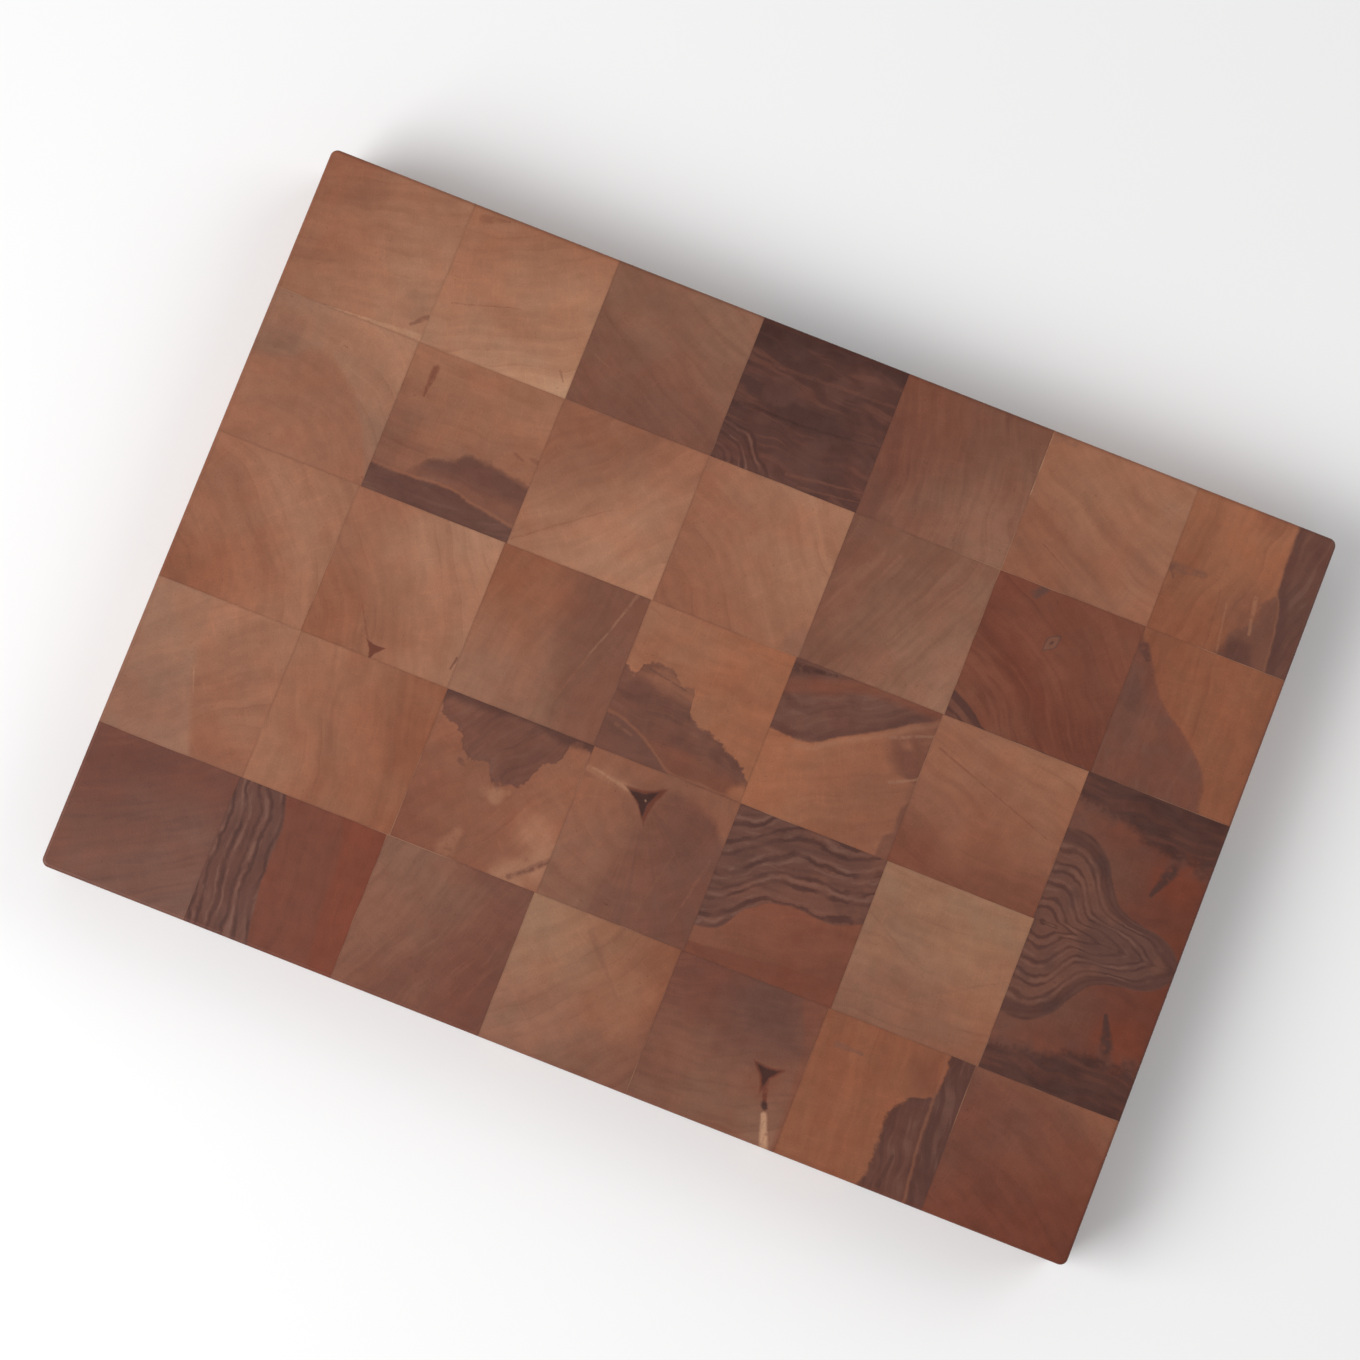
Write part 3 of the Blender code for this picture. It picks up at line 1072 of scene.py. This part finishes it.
turns = [(0.0, 0.40), (0.3, 0.31), (0.5, 0.33), (0.75, 0.27), (1.0, 0.30)]
swirl, reach, _ = wood.round_stain((0.02, 1.0), turns, 0.03)
wood.lay(swirl, "dusk", 0.6)
wood.zone_lines(swirl, reach, 5.5, 1.5, "chocolate", "ash", 0.9)
wood.finished()

# %% [markdown]
# ## Row 1: from plain to striped
# Two quiet blocks lead to one that was cut where the heart begins. A dark strip runs down its outer side,
# with a purple cloud beside it and a thin rosy line between the two. Strip and cloud both lie on the +X
# side of a curve, so `right_of` gives each its depth, and a narrow band of the same depth gives the line.

# %% Row 1: from plain to striped
wood = Wood(1, 5, ("brick", "brown", "umber", "grey tan"), (-4.0, 1.2))
wood.streaks(1.0, "umber", "taupe", 0.15)
wood.finished()

wood = Wood(1, 6, ("amber", "tan", "rosy", "pink tan"), (2.2, -2.6))
wood.stroke((-0.05, 0.02), (0.16, 0.04), 0.07, 0.02, "taupe", 0.6)
wood.stroke((0.20, 0.74), (0.42, 0.86), 0.006, 0.003, "brick", 0.5)
wood.stroke((-0.004, 0.0), (-0.004, 0.47), 0.010, 0.008, "cream", 0.8)
wood.finished()

wood = Wood(1, 7, ("orange", "orange", "russet", "russet"), (-5.0, -0.6))
wood.stroke((0.02, 0.56), (0.24, 0.54), 0.034, 0.022, "brown", 0.8)
wood.stroke((0.02, 0.57), (0.05, 0.63), 0.018, 0.008, "umber", 0.5)
wood.halo((0.56, 0.02), 0.04, 0.20, "brick", 0.45)
wood.halo((0.62, 0.66), 0.08, 0.24, "umber", 0.45)
cloud = wood.right_of([(0.0, 0.9), (0.45, 0.8), (0.56, 0.68), (0.72, 0.66), (0.84, 0.54), (1.0, 0.58)])
wood.stain(cloud, "umber", "brown", 0.06, 0.03)
wood.halo((0.62, 1.0), 0.08, 0.18, "dusk", 0.75)
wood.stroke((0.62, 0.56), (0.66, 0.80), 0.016, 0.010, "amber", 0.7)
wood.stroke((0.38, 0.60), (0.41, 1.0), 0.008, 0.006, "brick", 0.4)
wood.stroke((0.45, 0.66), (0.50, 1.0), 0.008, 0.008, "amber", 0.5)
strip = wood.right_of([(0.0, 0.73), (0.45, 0.74), (0.55, 0.79), (1.0, 0.85)])
wood.stain(strip, "plum", "dusk", 0.02)
wood.lay(wood.band(strip, -0.016, -0.004), "rosy", 0.6)
wood.lay(wood.band(strip, 0.0, 0.06, 0.02), "dusk", 0.6)
wood.finished()

# %% [markdown]
# ## Row 2: green sapwood, and a cloud on a shelf
# The first block keeps the greenish tint of sapwood round a pink heart. In the second, a purple cloud sits
# on a dark band with a rosy vein between them. The cloud fades towards the band under it, which one mask
# can't do, so a second mask, of its darker upper part, sets how strongly the stain is laid.

# %% Row 2: green sapwood, and a cloud on a shelf
wood = Wood(2, 1, ("clay", "light tan", "brown", "clay"), (0.25, 1.35))
heart = wood.below([(0.0, 0.44), (0.2, 0.40), (0.42, 0.28), (0.58, 0.34), (0.8, 0.56), (1.0, 0.95)])
wood.lay(wood.ragged(heart, 0.10, 0.05, 4.0), "pink tan", 1.0)
wood.halo((0.16, 0.25), 0.04, 0.20, "taupe", 0.6)
wood.finished()

wood = Wood(2, 2, ("amber", "amber", "brown", "pink tan"), (0.4, -5.0))
wood.stroke((0.165, 0.12), (0.155, 0.31), 0.024, 0.008, "brick", 0.9)
wood.stroke((0.84, 0.45), (0.90, 0.47), 0.012, 0.008, "brick", 0.5)
wood.stroke((0.95, 0.44), (1.0, 0.45), 0.014, 0.014, "brick", 0.5)
cloud = wood.below([(0.24, 0.80), (0.36, 0.68), (0.50, 0.63), (0.56, 0.57), (0.80, 0.585), (1.0, 0.62)])
darker = wood.ragged(wood.above([(0.0, 0.70), (0.5, 0.74), (1.0, 0.76)]), 0.05, 0.06)
fading = wood.nodes.ramp(darker, 0.0, 1.0, 0.9, 1.0)
wood.stain(cloud, "umber", "brown", 0.05, 0.025, fading)
wood.lay(wood.both(darker, wood.ragged(cloud, 0.06, 0.03)), "dusk", 0.6)
shelf = [(0.0, 0.835), (0.25, 0.835), (0.5, 0.82), (0.7, 0.855), (1.0, 0.905)]
wood.lay(wood.band(wood.below(shelf), -0.022, 0.0), "rosy", 0.6)
wood.stain(wood.below(shelf), "plum", "dusk", 0.02)
wood.finished()

# %% [markdown]
# ## Row 2: three quiet blocks
# Three plain blocks follow, one of them greyer and more streaked. They stay plain on purpose: a marked
# block stands out because its neighbours are calm.

# %% Row 2: three quiet blocks
wood = Wood(2, 3, ("rosy", "pink tan", "tan", "light tan"), (-2.2, -2.0))
wood.stroke((0.02, 0.96), (0.55, 0.55), 0.007, 0.003, "rosy", 0.6)
wood.finished()

wood = Wood(2, 4, ("pink tan", "light tan", "rosy", "amber"), (-1.2, 2.3))
wood.halo((0.97, 0.92), 0.06, 0.16, "grey tan", 0.9)
wood.finished()

wood = Wood(2, 5, ("brown", "taupe", "brown", "clay"), (-3.2, -1.2))
wood.streaks(1.0, "brown", "grey tan", 0.18)
wood.finished()

# %% [markdown]
# ## Row 2: the pin knot
# The sixth block is deep red, with a pin knot like a small slanting eye: the end of a twig, inside its own
# bark line. Dark zone lines cut off its lower corner. They are so few and so even that bands of one
# outline's depth draw them better than the waves of the zone lines would.

# %% Row 2: the pin knot
wood = Wood(2, 6, ("red", "brick", "brick", "red"), (-0.5, 1.7), 9.0, 0.6)
belt = wood.band(wood.below([(0.0, 0.36), (0.35, 0.58), (0.7, 0.84), (1.0, 1.0)]), -0.12, 0.10, 0.12)
wood.lay(belt, "ember", 0.75)
wood.streaks(wood.ragged(wood.below([(0.0, 0.30), (1.0, 0.70)]), 0.1, 0.2), "ember", "brick", 0.35)
wood.stroke((0.33, -0.01), (0.27, 0.06), 0.022, 0.030, "plum", 1.0)
corner = wood.below([(0.0, 0.83), (0.13, 0.89), (0.30, 1.0), (1.0, 1.0)])
wood.stain(corner, "umber", "chocolate", 0.02)
wood.lay(wood.band(corner, 0.0, 0.055), "chocolate", 0.75)
wood.lay(wood.band(corner, 0.10, 0.125), "chocolate", 0.75)
wood.eye((0.475, 0.32), 0.072, 0.038, -58)
wood.finished()

# %% [markdown]
# ## Row 2: the wedge
# In the last block, a grey-brown wedge has spread from the joint at the left. Its outline is a curve of x
# over y, and its point is a short dark stroke.

# %% Row 2: the wedge
wood = Wood(2, 7, ("russet", "russet", "russet", "russet"), (-6.0, 0.9))
wedge = wood.left_of([(0.08, 0.02), (0.17, 0.10), (0.40, 0.26), (0.57, 0.50), (0.78, 0.71), (1.0, 0.76)])
wood.stain(wedge, "umber", "brick", 0.03, 0.02)
wood.lay(wood.ragged(wedge, 0.05, 0.03), "plum", 0.25)
wood.stroke((0.04, 0.13), (0.09, 0.19), 0.036, 0.020, "dusk", 0.8)
wood.halo((0.08, 0.45), 0.02, 0.16, "plum", 0.7)
wood.halo((0.27, 0.64), 0.04, 0.16, "brick", 0.6)
wood.finished()

# %% [markdown]
# ## Row 3: from sapwood to a first pith
# The second block has a small pith at its lower side, with a crack that runs up from it, and the third a
# long pale vein. The vein is two strokes, one strong and one faint, because a real one fades out.

# %% Row 3: from sapwood to a first pith
wood = Wood(3, 1, ("pink tan", "tan", "russet", "amber"), (-0.6, 1.5))
wood.finished()

wood = Wood(3, 2, ("pink tan", "light tan", "russet", "tan"), (-2.2, 2.0))
wood.stroke((0.42, 0.90), (0.30, 0.70), 0.008, 0.003, "brick", 0.6)
wood.star((0.475, 0.94), 0.085, -25, "ember", 0.95)
wood.stroke((0.985, 0.80), (0.975, 0.88), 0.008, 0.006, "umber", 0.8)
wood.finished()

wood = Wood(3, 3, ("russet", "brown", "clay", "brown"), (4.0, 1.2), 9.0, 0.2)
wood.lay(wood.ragged(wood.right_of([(0.0, 0.42), (0.5, 0.55), (1.0, 0.75)]), 0.2, 0.1, 3.0), "umber", 0.35)
wood.stroke((0.92, -0.01), (0.76, 0.48), 0.010, 0.006, "grey tan", 0.8)
wood.stroke((0.76, 0.48), (0.64, 0.88), 0.006, 0.003, "rosy", 0.5)
wood.finished()

# %% [markdown]
# ## Row 3: the ink stain
# Some stains spread through wood like ink through wet paper, and leave a lobed, ragged outline while the
# rest of the wood stays bright. The outline is one curve with a few more points than usual, and the
# roughness of the stain does the rest. One soft mask sets how strongly the stain is laid, clouds darken
# it here and there, a second mask turns its lower part redder, and a third curve darkens the corner
# below a pale vein.

# %% Row 3: the ink stain
wood = Wood(3, 4, ("amber", "orange", "orange", "orange"), (0.6, -5.0))
cloud = wood.below([
    (0.0, 0.45), (0.08, 0.48), (0.12, 0.375), (0.30, 0.36), (0.37, 0.43),
    (0.47, 0.44), (0.50, 0.60), (0.72, 0.68), (0.90, 0.77), (1.0, 0.86),
])
fuller = wood.ragged(wood.below([(0.0, 0.42), (0.3, 0.50), (0.6, 0.56), (1.0, 0.6)]), 0.10, 0.08)
spread = wood.stain(cloud, "umber", "plum", 0.06, 0.012, wood.nodes.ramp(fuller, 0.0, 1.0, 0.45, 1.0))
wood.lay(wood.cloudy(spread, 0.48, 0.64, 5.0), "dusk", 0.4)
lower = wood.below([(0.0, 0.90), (0.45, 0.82), (0.8, 0.88), (1.0, 0.88)])
wood.lay(wood.ragged(lower, 0.10, 0.05), "brick", 0.7)
wood.halo((0.98, 0.96), 0.04, 0.10, "orange", 0.9)
vein = [(0.0, 0.765), (0.13, 0.785), (0.33, 0.88), (0.55, 1.0), (1.0, 1.0)]
wood.lay(wood.ragged(wood.below(vein), 0.02, 0.01), "umber", 0.6)
wood.lay(wood.ragged(wood.below(vein), 0.02, 0.01), "plum", 0.5)
wood.lay(wood.band(wood.below(vein), -0.020, 0.0), "rosy", 0.5)
wood.stroke((0.08, 0.82), (0.20, 0.85), 0.012, 0.008, "brown", 0.8)
wood.stroke((0.16, 0.415), (0.42, 0.46), 0.007, 0.005, "plum", 0.6)
wood.finished()

# %% [markdown]
# ## Row 3: the swept band
# A dark band sweeps down from the upper side, and the wood under it is paler along its edge. The band has
# zone lines too, but faint ones, so they are laid at half strength. The block next to it is plain.

# %% Row 3: the swept band
wood = Wood(3, 5, ("orange", "rosy", "orange", "rosy"), (-0.6, -1.9))
grey = wood.right_of([(0.0, 0.9), (0.2, 0.74), (0.45, 0.85), (0.5, 1.0), (1.0, 1.0)])
wood.lay(wood.cloudy(wood.band(grey, 0.0, 0.5, 0.08), 0.36, 0.56, 4.0), "umber", 0.9)
wood.stroke((0.74, 0.26), (1.01, 0.15), 0.012, 0.008, "grey tan", 0.8)
wood.stroke((0.84, 0.53), (1.01, 0.44), 0.012, 0.008, "clay", 0.7)
band = wood.above([(0.0, 0.48), (0.2, 0.49), (0.45, 0.37), (0.75, 0.19), (1.0, 0.03)])
wood.lay(wood.cloudy(wood.band(band, -0.06, -0.015, 0.02)), "tan", 0.45)
wood.stain(band, "plum", "dusk", 0.02)
wood.zone_lines(wood.ragged(band, 0.02, 0.01), band, 6.0, 1.2, "dusk", "ash", 0.5)
seam = wood.above([(0.0, 0.20), (0.25, 0.11), (0.6, 0.0), (1.0, 0.0)])
wood.lay(wood.band(seam, -0.045, 0.05, 0.04), "brick", 0.75)
wood.stroke((0.0, 0.06), (0.28, 0.02), 0.030, 0.010, "soot", 0.6)
side = wood.right_of([(0.0, 1.04), (0.58, 1.02), (0.68, 0.96), (0.8, 0.975), (0.88, 0.92), (1.0, 0.92)])
wood.lay(wood.ragged(side, 0.03, 0.015), "umber", 0.8)
wood.finished()

wood = Wood(3, 6, ("pink tan", "amber", "brick", "brick"), (1.6, -4.0))
wood.stroke((0.06, 0.21), (0.90, 0.50), 0.007, 0.004, "brick", 0.6)
wood.finished()

# %% [markdown]
# ## Row 4: two sapwood blocks
# The boundary between sapwood and heart shows in the first block as a change of tone along an arc. It
# needs no line of its own: two tones that meet in a narrow, slightly ragged ramp are enough. A soft
# patch makes the sapwood's lower corner greyer, and a short pale fleck lies on the boundary.

# %% Row 4: two sapwood blocks
wood = Wood(4, 1, ("tan", "tan", "rosy", "rosy"), (2.4, 3.0))
sap = wood.left_of([(0.0, 0.38), (0.5, 0.45), (0.8, 0.55), (1.0, 0.63)])
wood.lay(wood.ragged(sap, 0.04, 0.03, 4.0), "clay", 0.9)
wood.halo((0.12, 0.85), 0.1, 0.5, "grey tan", 0.9)
wood.stroke((0.44, 0.46), (0.50, 0.62), 0.006, 0.003, "cream", 0.3)
wood.finished()

wood = Wood(4, 2, ("amber", "russet", "amber", "russet"), (-4.4, 1.6))
wood.finished()

# %% [markdown]
# ## Row 4: the hanging stain
# A dark stain hangs from the upper joint like a wet patch, with pale wood just under its tip and two
# small drops that broke away. The stain is rougher than most, so its outline is given a larger
# share of noise. Its root along the joint is darker, so a ragged fringe is laid over it. A dark crack
# crosses the paler lower corner, as two strokes of which one lies in the other.

# %% Row 4: the hanging stain
wood = Wood(4, 3, ("rosy", "rosy", "brick", "rosy"), (-2.6, -2.0))
wood.stroke((0.46, 0.52), (0.60, 0.48), 0.035, 0.02, "amber", 0.7)
wood.stroke((0.36, 0.95), (0.40, 0.82), 0.06, 0.03, "amber", 0.6)
wood.halo((0.86, 0.66), 0.04, 0.20, "tan", 0.7)
wood.halo((0.78, 0.98), 0.04, 0.16, "tan", 0.8)
wood.halo((0.95, 0.86), 0.04, 0.14, "tan", 0.7)
wood.stroke((0.74, 1.0), (1.0, 0.72), 0.06, 0.05, "tan", 0.5)
wood.stroke((0.80, 0.97), (1.0, 0.79), 0.018, 0.020, "brown", 0.8)
wood.stroke((0.82, 0.95), (1.0, 0.80), 0.006, 0.008, "umber", 0.8)
hanging = wood.above([
    (0.0, 0.10), (0.08, 0.20), (0.18, 0.21), (0.25, 0.33), (0.42, 0.37),
    (0.50, 0.45), (0.65, 0.42), (0.72, 0.28), (0.82, 0.18), (0.90, 0.02), (1.0, 0.06),
])
wood.stain(hanging, "umber", "dusk", 0.09)
fringe = wood.above([(0.0, 0.05), (0.3, 0.04), (0.6, 0.02), (0.84, 0.08), (1.0, 0.04)])
wood.lay(wood.ragged(fringe, 0.10, 0.03), "chocolate", 0.7)
wood.stroke((0.50, 0.42), (0.53, 0.49), 0.020, 0.012, "umber", 0.9)
wood.halo((0.54, 0.53), 0.02, 0.07, "tan", 0.8)
wood.stroke((0.24, 0.395), (0.265, 0.41), 0.018, 0.014, "umber", 0.9)
wood.stroke((0.31, 0.35), (0.325, 0.36), 0.014, 0.010, "umber", 0.8)
wood.finished()

# %% [markdown]
# ## Row 4: the pith of the tree
# The fourth block holds the pith itself: a dark three-cornered hole where the first shoot stood, with a
# pale crack that runs to it. Its rings are close round the pith, so they curve tightly, and darker
# spokes run outwards on its +X side. The hole is two stars of one turn, so its rim is softer
# and redder than its middle, whose darkest part is painted shade in the hollow as well as the pith's own
# colour.

# %% Row 4: the pith of the tree
wood = Wood(4, 4, ("rosy", "umber", "taupe", "umber"), (0.43, 0.2), 7.0, 0.35)
dark = wood.ragged(wood.right_of([(0.0, 0.60), (0.3, 0.46), (0.6, 0.40), (1.0, 0.30)]), 0.10, 0.08)
wood.lay(dark, "umber", 0.55)
wood.spokes(dark, "plum", 0.30)
wood.stroke((0.72, 0.45), (0.63, 0.90), 0.010, 0.006, "brown", 0.5)
wood.stroke((0.95, 0.42), (0.86, 0.86), 0.010, 0.006, "brown", 0.5)
upper = wood.above([(0.0, 0.10), (0.5, 0.08), (0.8, 0.12), (1.0, 0.3)])
wood.lay(wood.ragged(upper, 0.08, 0.05), "rosy", 0.7)
wood.halo((0.15, 0.16), 0.02, 0.16, "amber", 0.5)
wood.stroke((0.34, 0.18), (0.0, 0.14), 0.030, 0.020, "tan", 0.6)
wood.stroke((0.33, 0.185), (0.04, 0.13), 0.012, 0.006, "light tan", 0.8)
# Two stars: the pith's own dark colour, and painted shade in the middle of its hollow.
wood.star((0.43, 0.20), 0.170, -46, "ember", 0.95)
wood.star((0.415, 0.205), 0.120, -46, "soot", 0.9)
wood.stroke((0.428, 0.205), (0.434, 0.210), 0.006, 0.005, "cream", 0.6)
wood.finished()

# %% [markdown]
# ## Row 4: the boldest zone lines
# The zone lines of the fifth block run level and then turn down together at the left, inside a dark stain.
# If their waves followed the stain's own outline they would crowd together where it is steep, so they
# follow a second, gentler curve. The sixth block is pale and nearly
# plain.

# %% Row 4: the boldest zone lines
wood = Wood(4, 5, ("brick", "brick", "rosy", "brick"), (-0.5, -4.2))
wood.lay(wood.ragged(wood.below([(0.0, 0.5), (1.0, 0.5)]), 0.2, 0.1, 3.0), "red", 0.4)
wood.lay(wood.ragged(wood.below([(0.0, 0.93), (0.5, 0.88), (1.0, 0.83)]), 0.02, 0.01), "red", 0.8)
fold = wood.above([
    (0.0, 0.815), (0.12, 0.80), (0.19, 0.74), (0.24, 0.64), (0.32, 0.57),
    (0.45, 0.505), (0.60, 0.49), (0.78, 0.505), (1.0, 0.43),
])
zone = wood.stain(fold, "plum", "dusk", 0.015)
flow = wood.above([(0.0, 0.77), (0.14, 0.72), (0.30, 0.58), (0.48, 0.50), (0.78, 0.50), (1.0, 0.43)])
wood.lay(wood.cloudy(zone, 0.46, 0.62, 4.0), "brown", 0.4)
wood.zone_lines(zone, flow, 10.0, 1.6, "chocolate", "ash", 0.9)
wood.finished()

wood = Wood(4, 6, ("sage", "sage", "taupe", "rosy"), (0.4, -2.6))
wood.stroke((0.02, 0.97), (0.10, 0.80), 0.06, 0.02, "taupe", 0.6)
wood.stroke((0.02, 0.34), (0.50, 0.62), 0.010, 0.004, "taupe", 0.4)
wood.stroke((0.40, 0.78), (0.98, 0.44), 0.010, 0.004, "taupe", 0.35)
wood.finished()

# %% [markdown]
# ## Rows 3 and 4: the book-matched pair
# The last blocks of rows 3 and 4 are two slices of one stick, opened like a book, so the lower one is the
# mirror image of the upper. The lower one could be painted by itself, but its noise would never match at
# the joint. Instead, one function paints both, and the lower block reads its place upside down and takes
# the upper one's slice of the noise. Zone lines circle a point at the joint and run out to the right in a
# long tail, so their waves are drawn out along it.

# %% Rows 3 and 4: the book-matched pair
UPPER = (3, 7)
LOWER = (4, 7)


def paint_leaf(row, column, like=None):
    """One leaf of the pair: the lower one repeats the upper in a mirror."""
    wood = Wood(row, column, ("umber", "ember", "umber", "ember"), (0.2, -4.0), 9.0, 0.5, 0.25, like)
    wood.halo((0.35, 0.30), 0.04, 0.20, "red", 0.5)
    wood.halo((0.92, 0.50), 0.16, 0.34, "ember", 0.8)
    wood.halo((0.82, 0.46), 0.04, 0.22, "garnet", 0.65)
    crust = wood.above([(0.0, 0.14), (0.3, 0.20), (0.5, 0.28), (0.8, 0.30), (1.0, 0.34)])
    mottle = wood.ragged(wood.above([(0.0, 0.36), (0.5, 0.36), (1.0, 0.4)]), 0.1, 0.06)
    wood.lay(wood.cloudy(mottle, 0.42, 0.62, 5.0), "plum", 0.7)
    wood.stain(crust, "chocolate", "soot", 0.10, 0.06, pale="mulberry")
    wood.stroke((0.745, 0.40), (0.67, 0.59), 0.042, 0.016, "chocolate", 1.0)
    turns = [
        (0.0, 1.02), (0.05, 0.92), (0.11, 0.84), (0.14, 0.77), (0.18, 0.66), (0.27, 0.54), (0.36, 0.508),
        (0.49, 0.517), (0.58, 0.559), (0.69, 0.60), (0.80, 0.63), (1.0, 0.62),
    ]
    eye, field, angle = wood.round_stain((0.06, 1.0), turns, 0.02)
    wood.lay(eye, "plum", 1.0)
    wood.lay(wood.cloudy(eye, 0.44, 0.60, 4.0), "brown", 0.35)
    drawn_out = wood.nodes.ramp(angle, 0.20, 0.0, 0.0, -0.12)
    wood.zone_lines(eye, wood.nodes.math("ADD", field, drawn_out), 8.0, 1.3, "chocolate", "ash", 0.75)
    rim = wood.nodes.ramp(wood.nodes.math("ADD", field, wood.nodes.swing(wood.place, 7.0, 0.12)), 0.80, 0.90)
    wood.lay(wood.both(eye, rim), "chocolate", 0.6)
    wood.finished()


paint_leaf(*UPPER)
paint_leaf(*LOWER, like=UPPER)

# %% [markdown]
# ## Row 5: torn map edges
# The first block is streaked, reddish heartwood. In the second, a dark strip of upright zone lines looks
# like the edge of a torn map, and the red wood beside it deepens beyond a curved line.

# %% Row 5: torn map edges
wood = Wood(5, 1, ("mulberry", "mulberry", "umber", "ash"), (-1.9, -3.6), 10.0, 0.4, 0.12)
wood.streaks(1.0, "plum", "umber", 0.25)
wood.finished()

wood = Wood(5, 2, ("red", "red", "red", "red"), (-5.2, 0.6), 9.0, 0.6)
deeper = wood.right_of([(0.0, 0.70), (0.25, 0.77), (0.6, 0.79), (1.0, 0.84)])
wood.lay(wood.ragged(deeper, 0.02, 0.02), "garnet", 0.7)
strip = wood.left_of([(0.0, 0.31), (0.2, 0.365), (0.6, 0.37), (1.0, 0.43)])
zone = wood.stain(strip, "plum", "dusk", 0.015)
wood.zone_lines(zone, strip, 13.0, 1.5, "chocolate", "ash", 0.9)
wood.finished()

# %% [markdown]
# ## Row 5: grey, and green
# Two more calm blocks: one grey and streaked, the other greenish with a warmer patch and one faint
# streak across the rings.

# %% Row 5: grey, and green
wood = Wood(5, 3, ("taupe", "umber", "brown", "mulberry"), (-4.0, -1.4))
wood.streaks(1.0, "umber", "taupe", 0.20)
wood.finished()

wood = Wood(5, 4, ("sage", "russet", "grey tan", "brown"), (-2.2, -1.8))
wood.halo((0.78, 0.45), 0.1, 0.3, "amber", 0.5)
wood.stroke((0.42, 0.10), (0.72, 0.44), 0.020, 0.012, "brown", 0.35)
wood.finished()

# %% [markdown]
# ## Row 5: a pith with a crack
# The fifth block has a second pith, with a pale drying crack that runs from it to the edge. The crack
# widens on its way out, as drying cracks do, so its tip is wider than its start.

# %% Row 5: a pith with a crack
wood = Wood(5, 5, ("mulberry", "umber", "brown", "taupe"), (-0.6, -4.0), 10.0, 0.4)
wood.streaks(1.0, "umber", "brown", 0.22)
side = wood.right_of([(0.0, 0.82), (0.3, 0.93), (0.5, 0.96), (1.0, 0.98)])
wood.lay(wood.ragged(side, 0.05, 0.02), "brick", 0.7)
wood.halo((0.66, 0.20), 0.12, 0.42, "plum", 0.70)
wood.halo((0.78, 0.60), 0.06, 0.15, "brick", 0.6)
wood.stroke((0.79, 0.58), (0.84, 0.73), 0.022, 0.012, "ember", 0.9)
wood.stroke((0.838, 0.735), (0.848, 0.750), 0.022, 0.020, "soot", 0.9)
# Two stars: the pith's own dark colour, and painted shade in the middle of its hollow.
wood.star((0.785, 0.545), 0.135, -32, "ember", 0.9)
wood.star((0.785, 0.545), 0.095, -32, "soot", 0.85)
wood.stroke((0.86, 0.80), (0.94, 1.02), 0.019, 0.026, "cream", 1.0)
wood.finished()

# %% [markdown]
# ## Row 5: the last stripes
# The sixth block has a dark strip and a cloud like those of the last block of row 1: they may well be the
# same stick, cut again. So the same steps paint it, in darker tones. The last block is plain and red.

# %% Row 5: the last stripes
wood = Wood(5, 6, ("russet", "russet", "russet", "russet"), (6.0, -0.2))
wood.stroke((0.13, 0.20), (0.30, 0.20), 0.022, 0.012, "brown", 0.8)
wood.halo((0.76, 0.18), 0.04, 0.22, "brick", 0.7)
cloud = wood.right_of([(0.0, 0.86), (0.28, 0.82), (0.37, 0.67), (0.55, 0.58), (0.75, 0.60), (1.0, 0.57)])
wood.stain(cloud, "dusk", "chocolate", 0.05, 0.02)
strip = wood.right_of([(0.0, 0.84), (0.5, 0.85), (1.0, 0.90)])
wood.stain(strip, "dusk", "chocolate", 0.02)
wood.lay(wood.band(strip, -0.030, -0.012), "rosy", 0.5)
wood.stroke((0.71, 0.74), (0.69, 0.95), 0.012, 0.018, "chocolate", 0.6)
wood.finished()

wood = Wood(5, 7, ("umber", "brick", "red", "ember"), (-0.5, 2.6))
wood.lay(wood.ragged(wood.above([(0.0, 0.0), (0.5, 0.02), (1.0, 0.2)]), 0.1, 0.1, 4.0), "rosy", 0.6)
wood.finished()
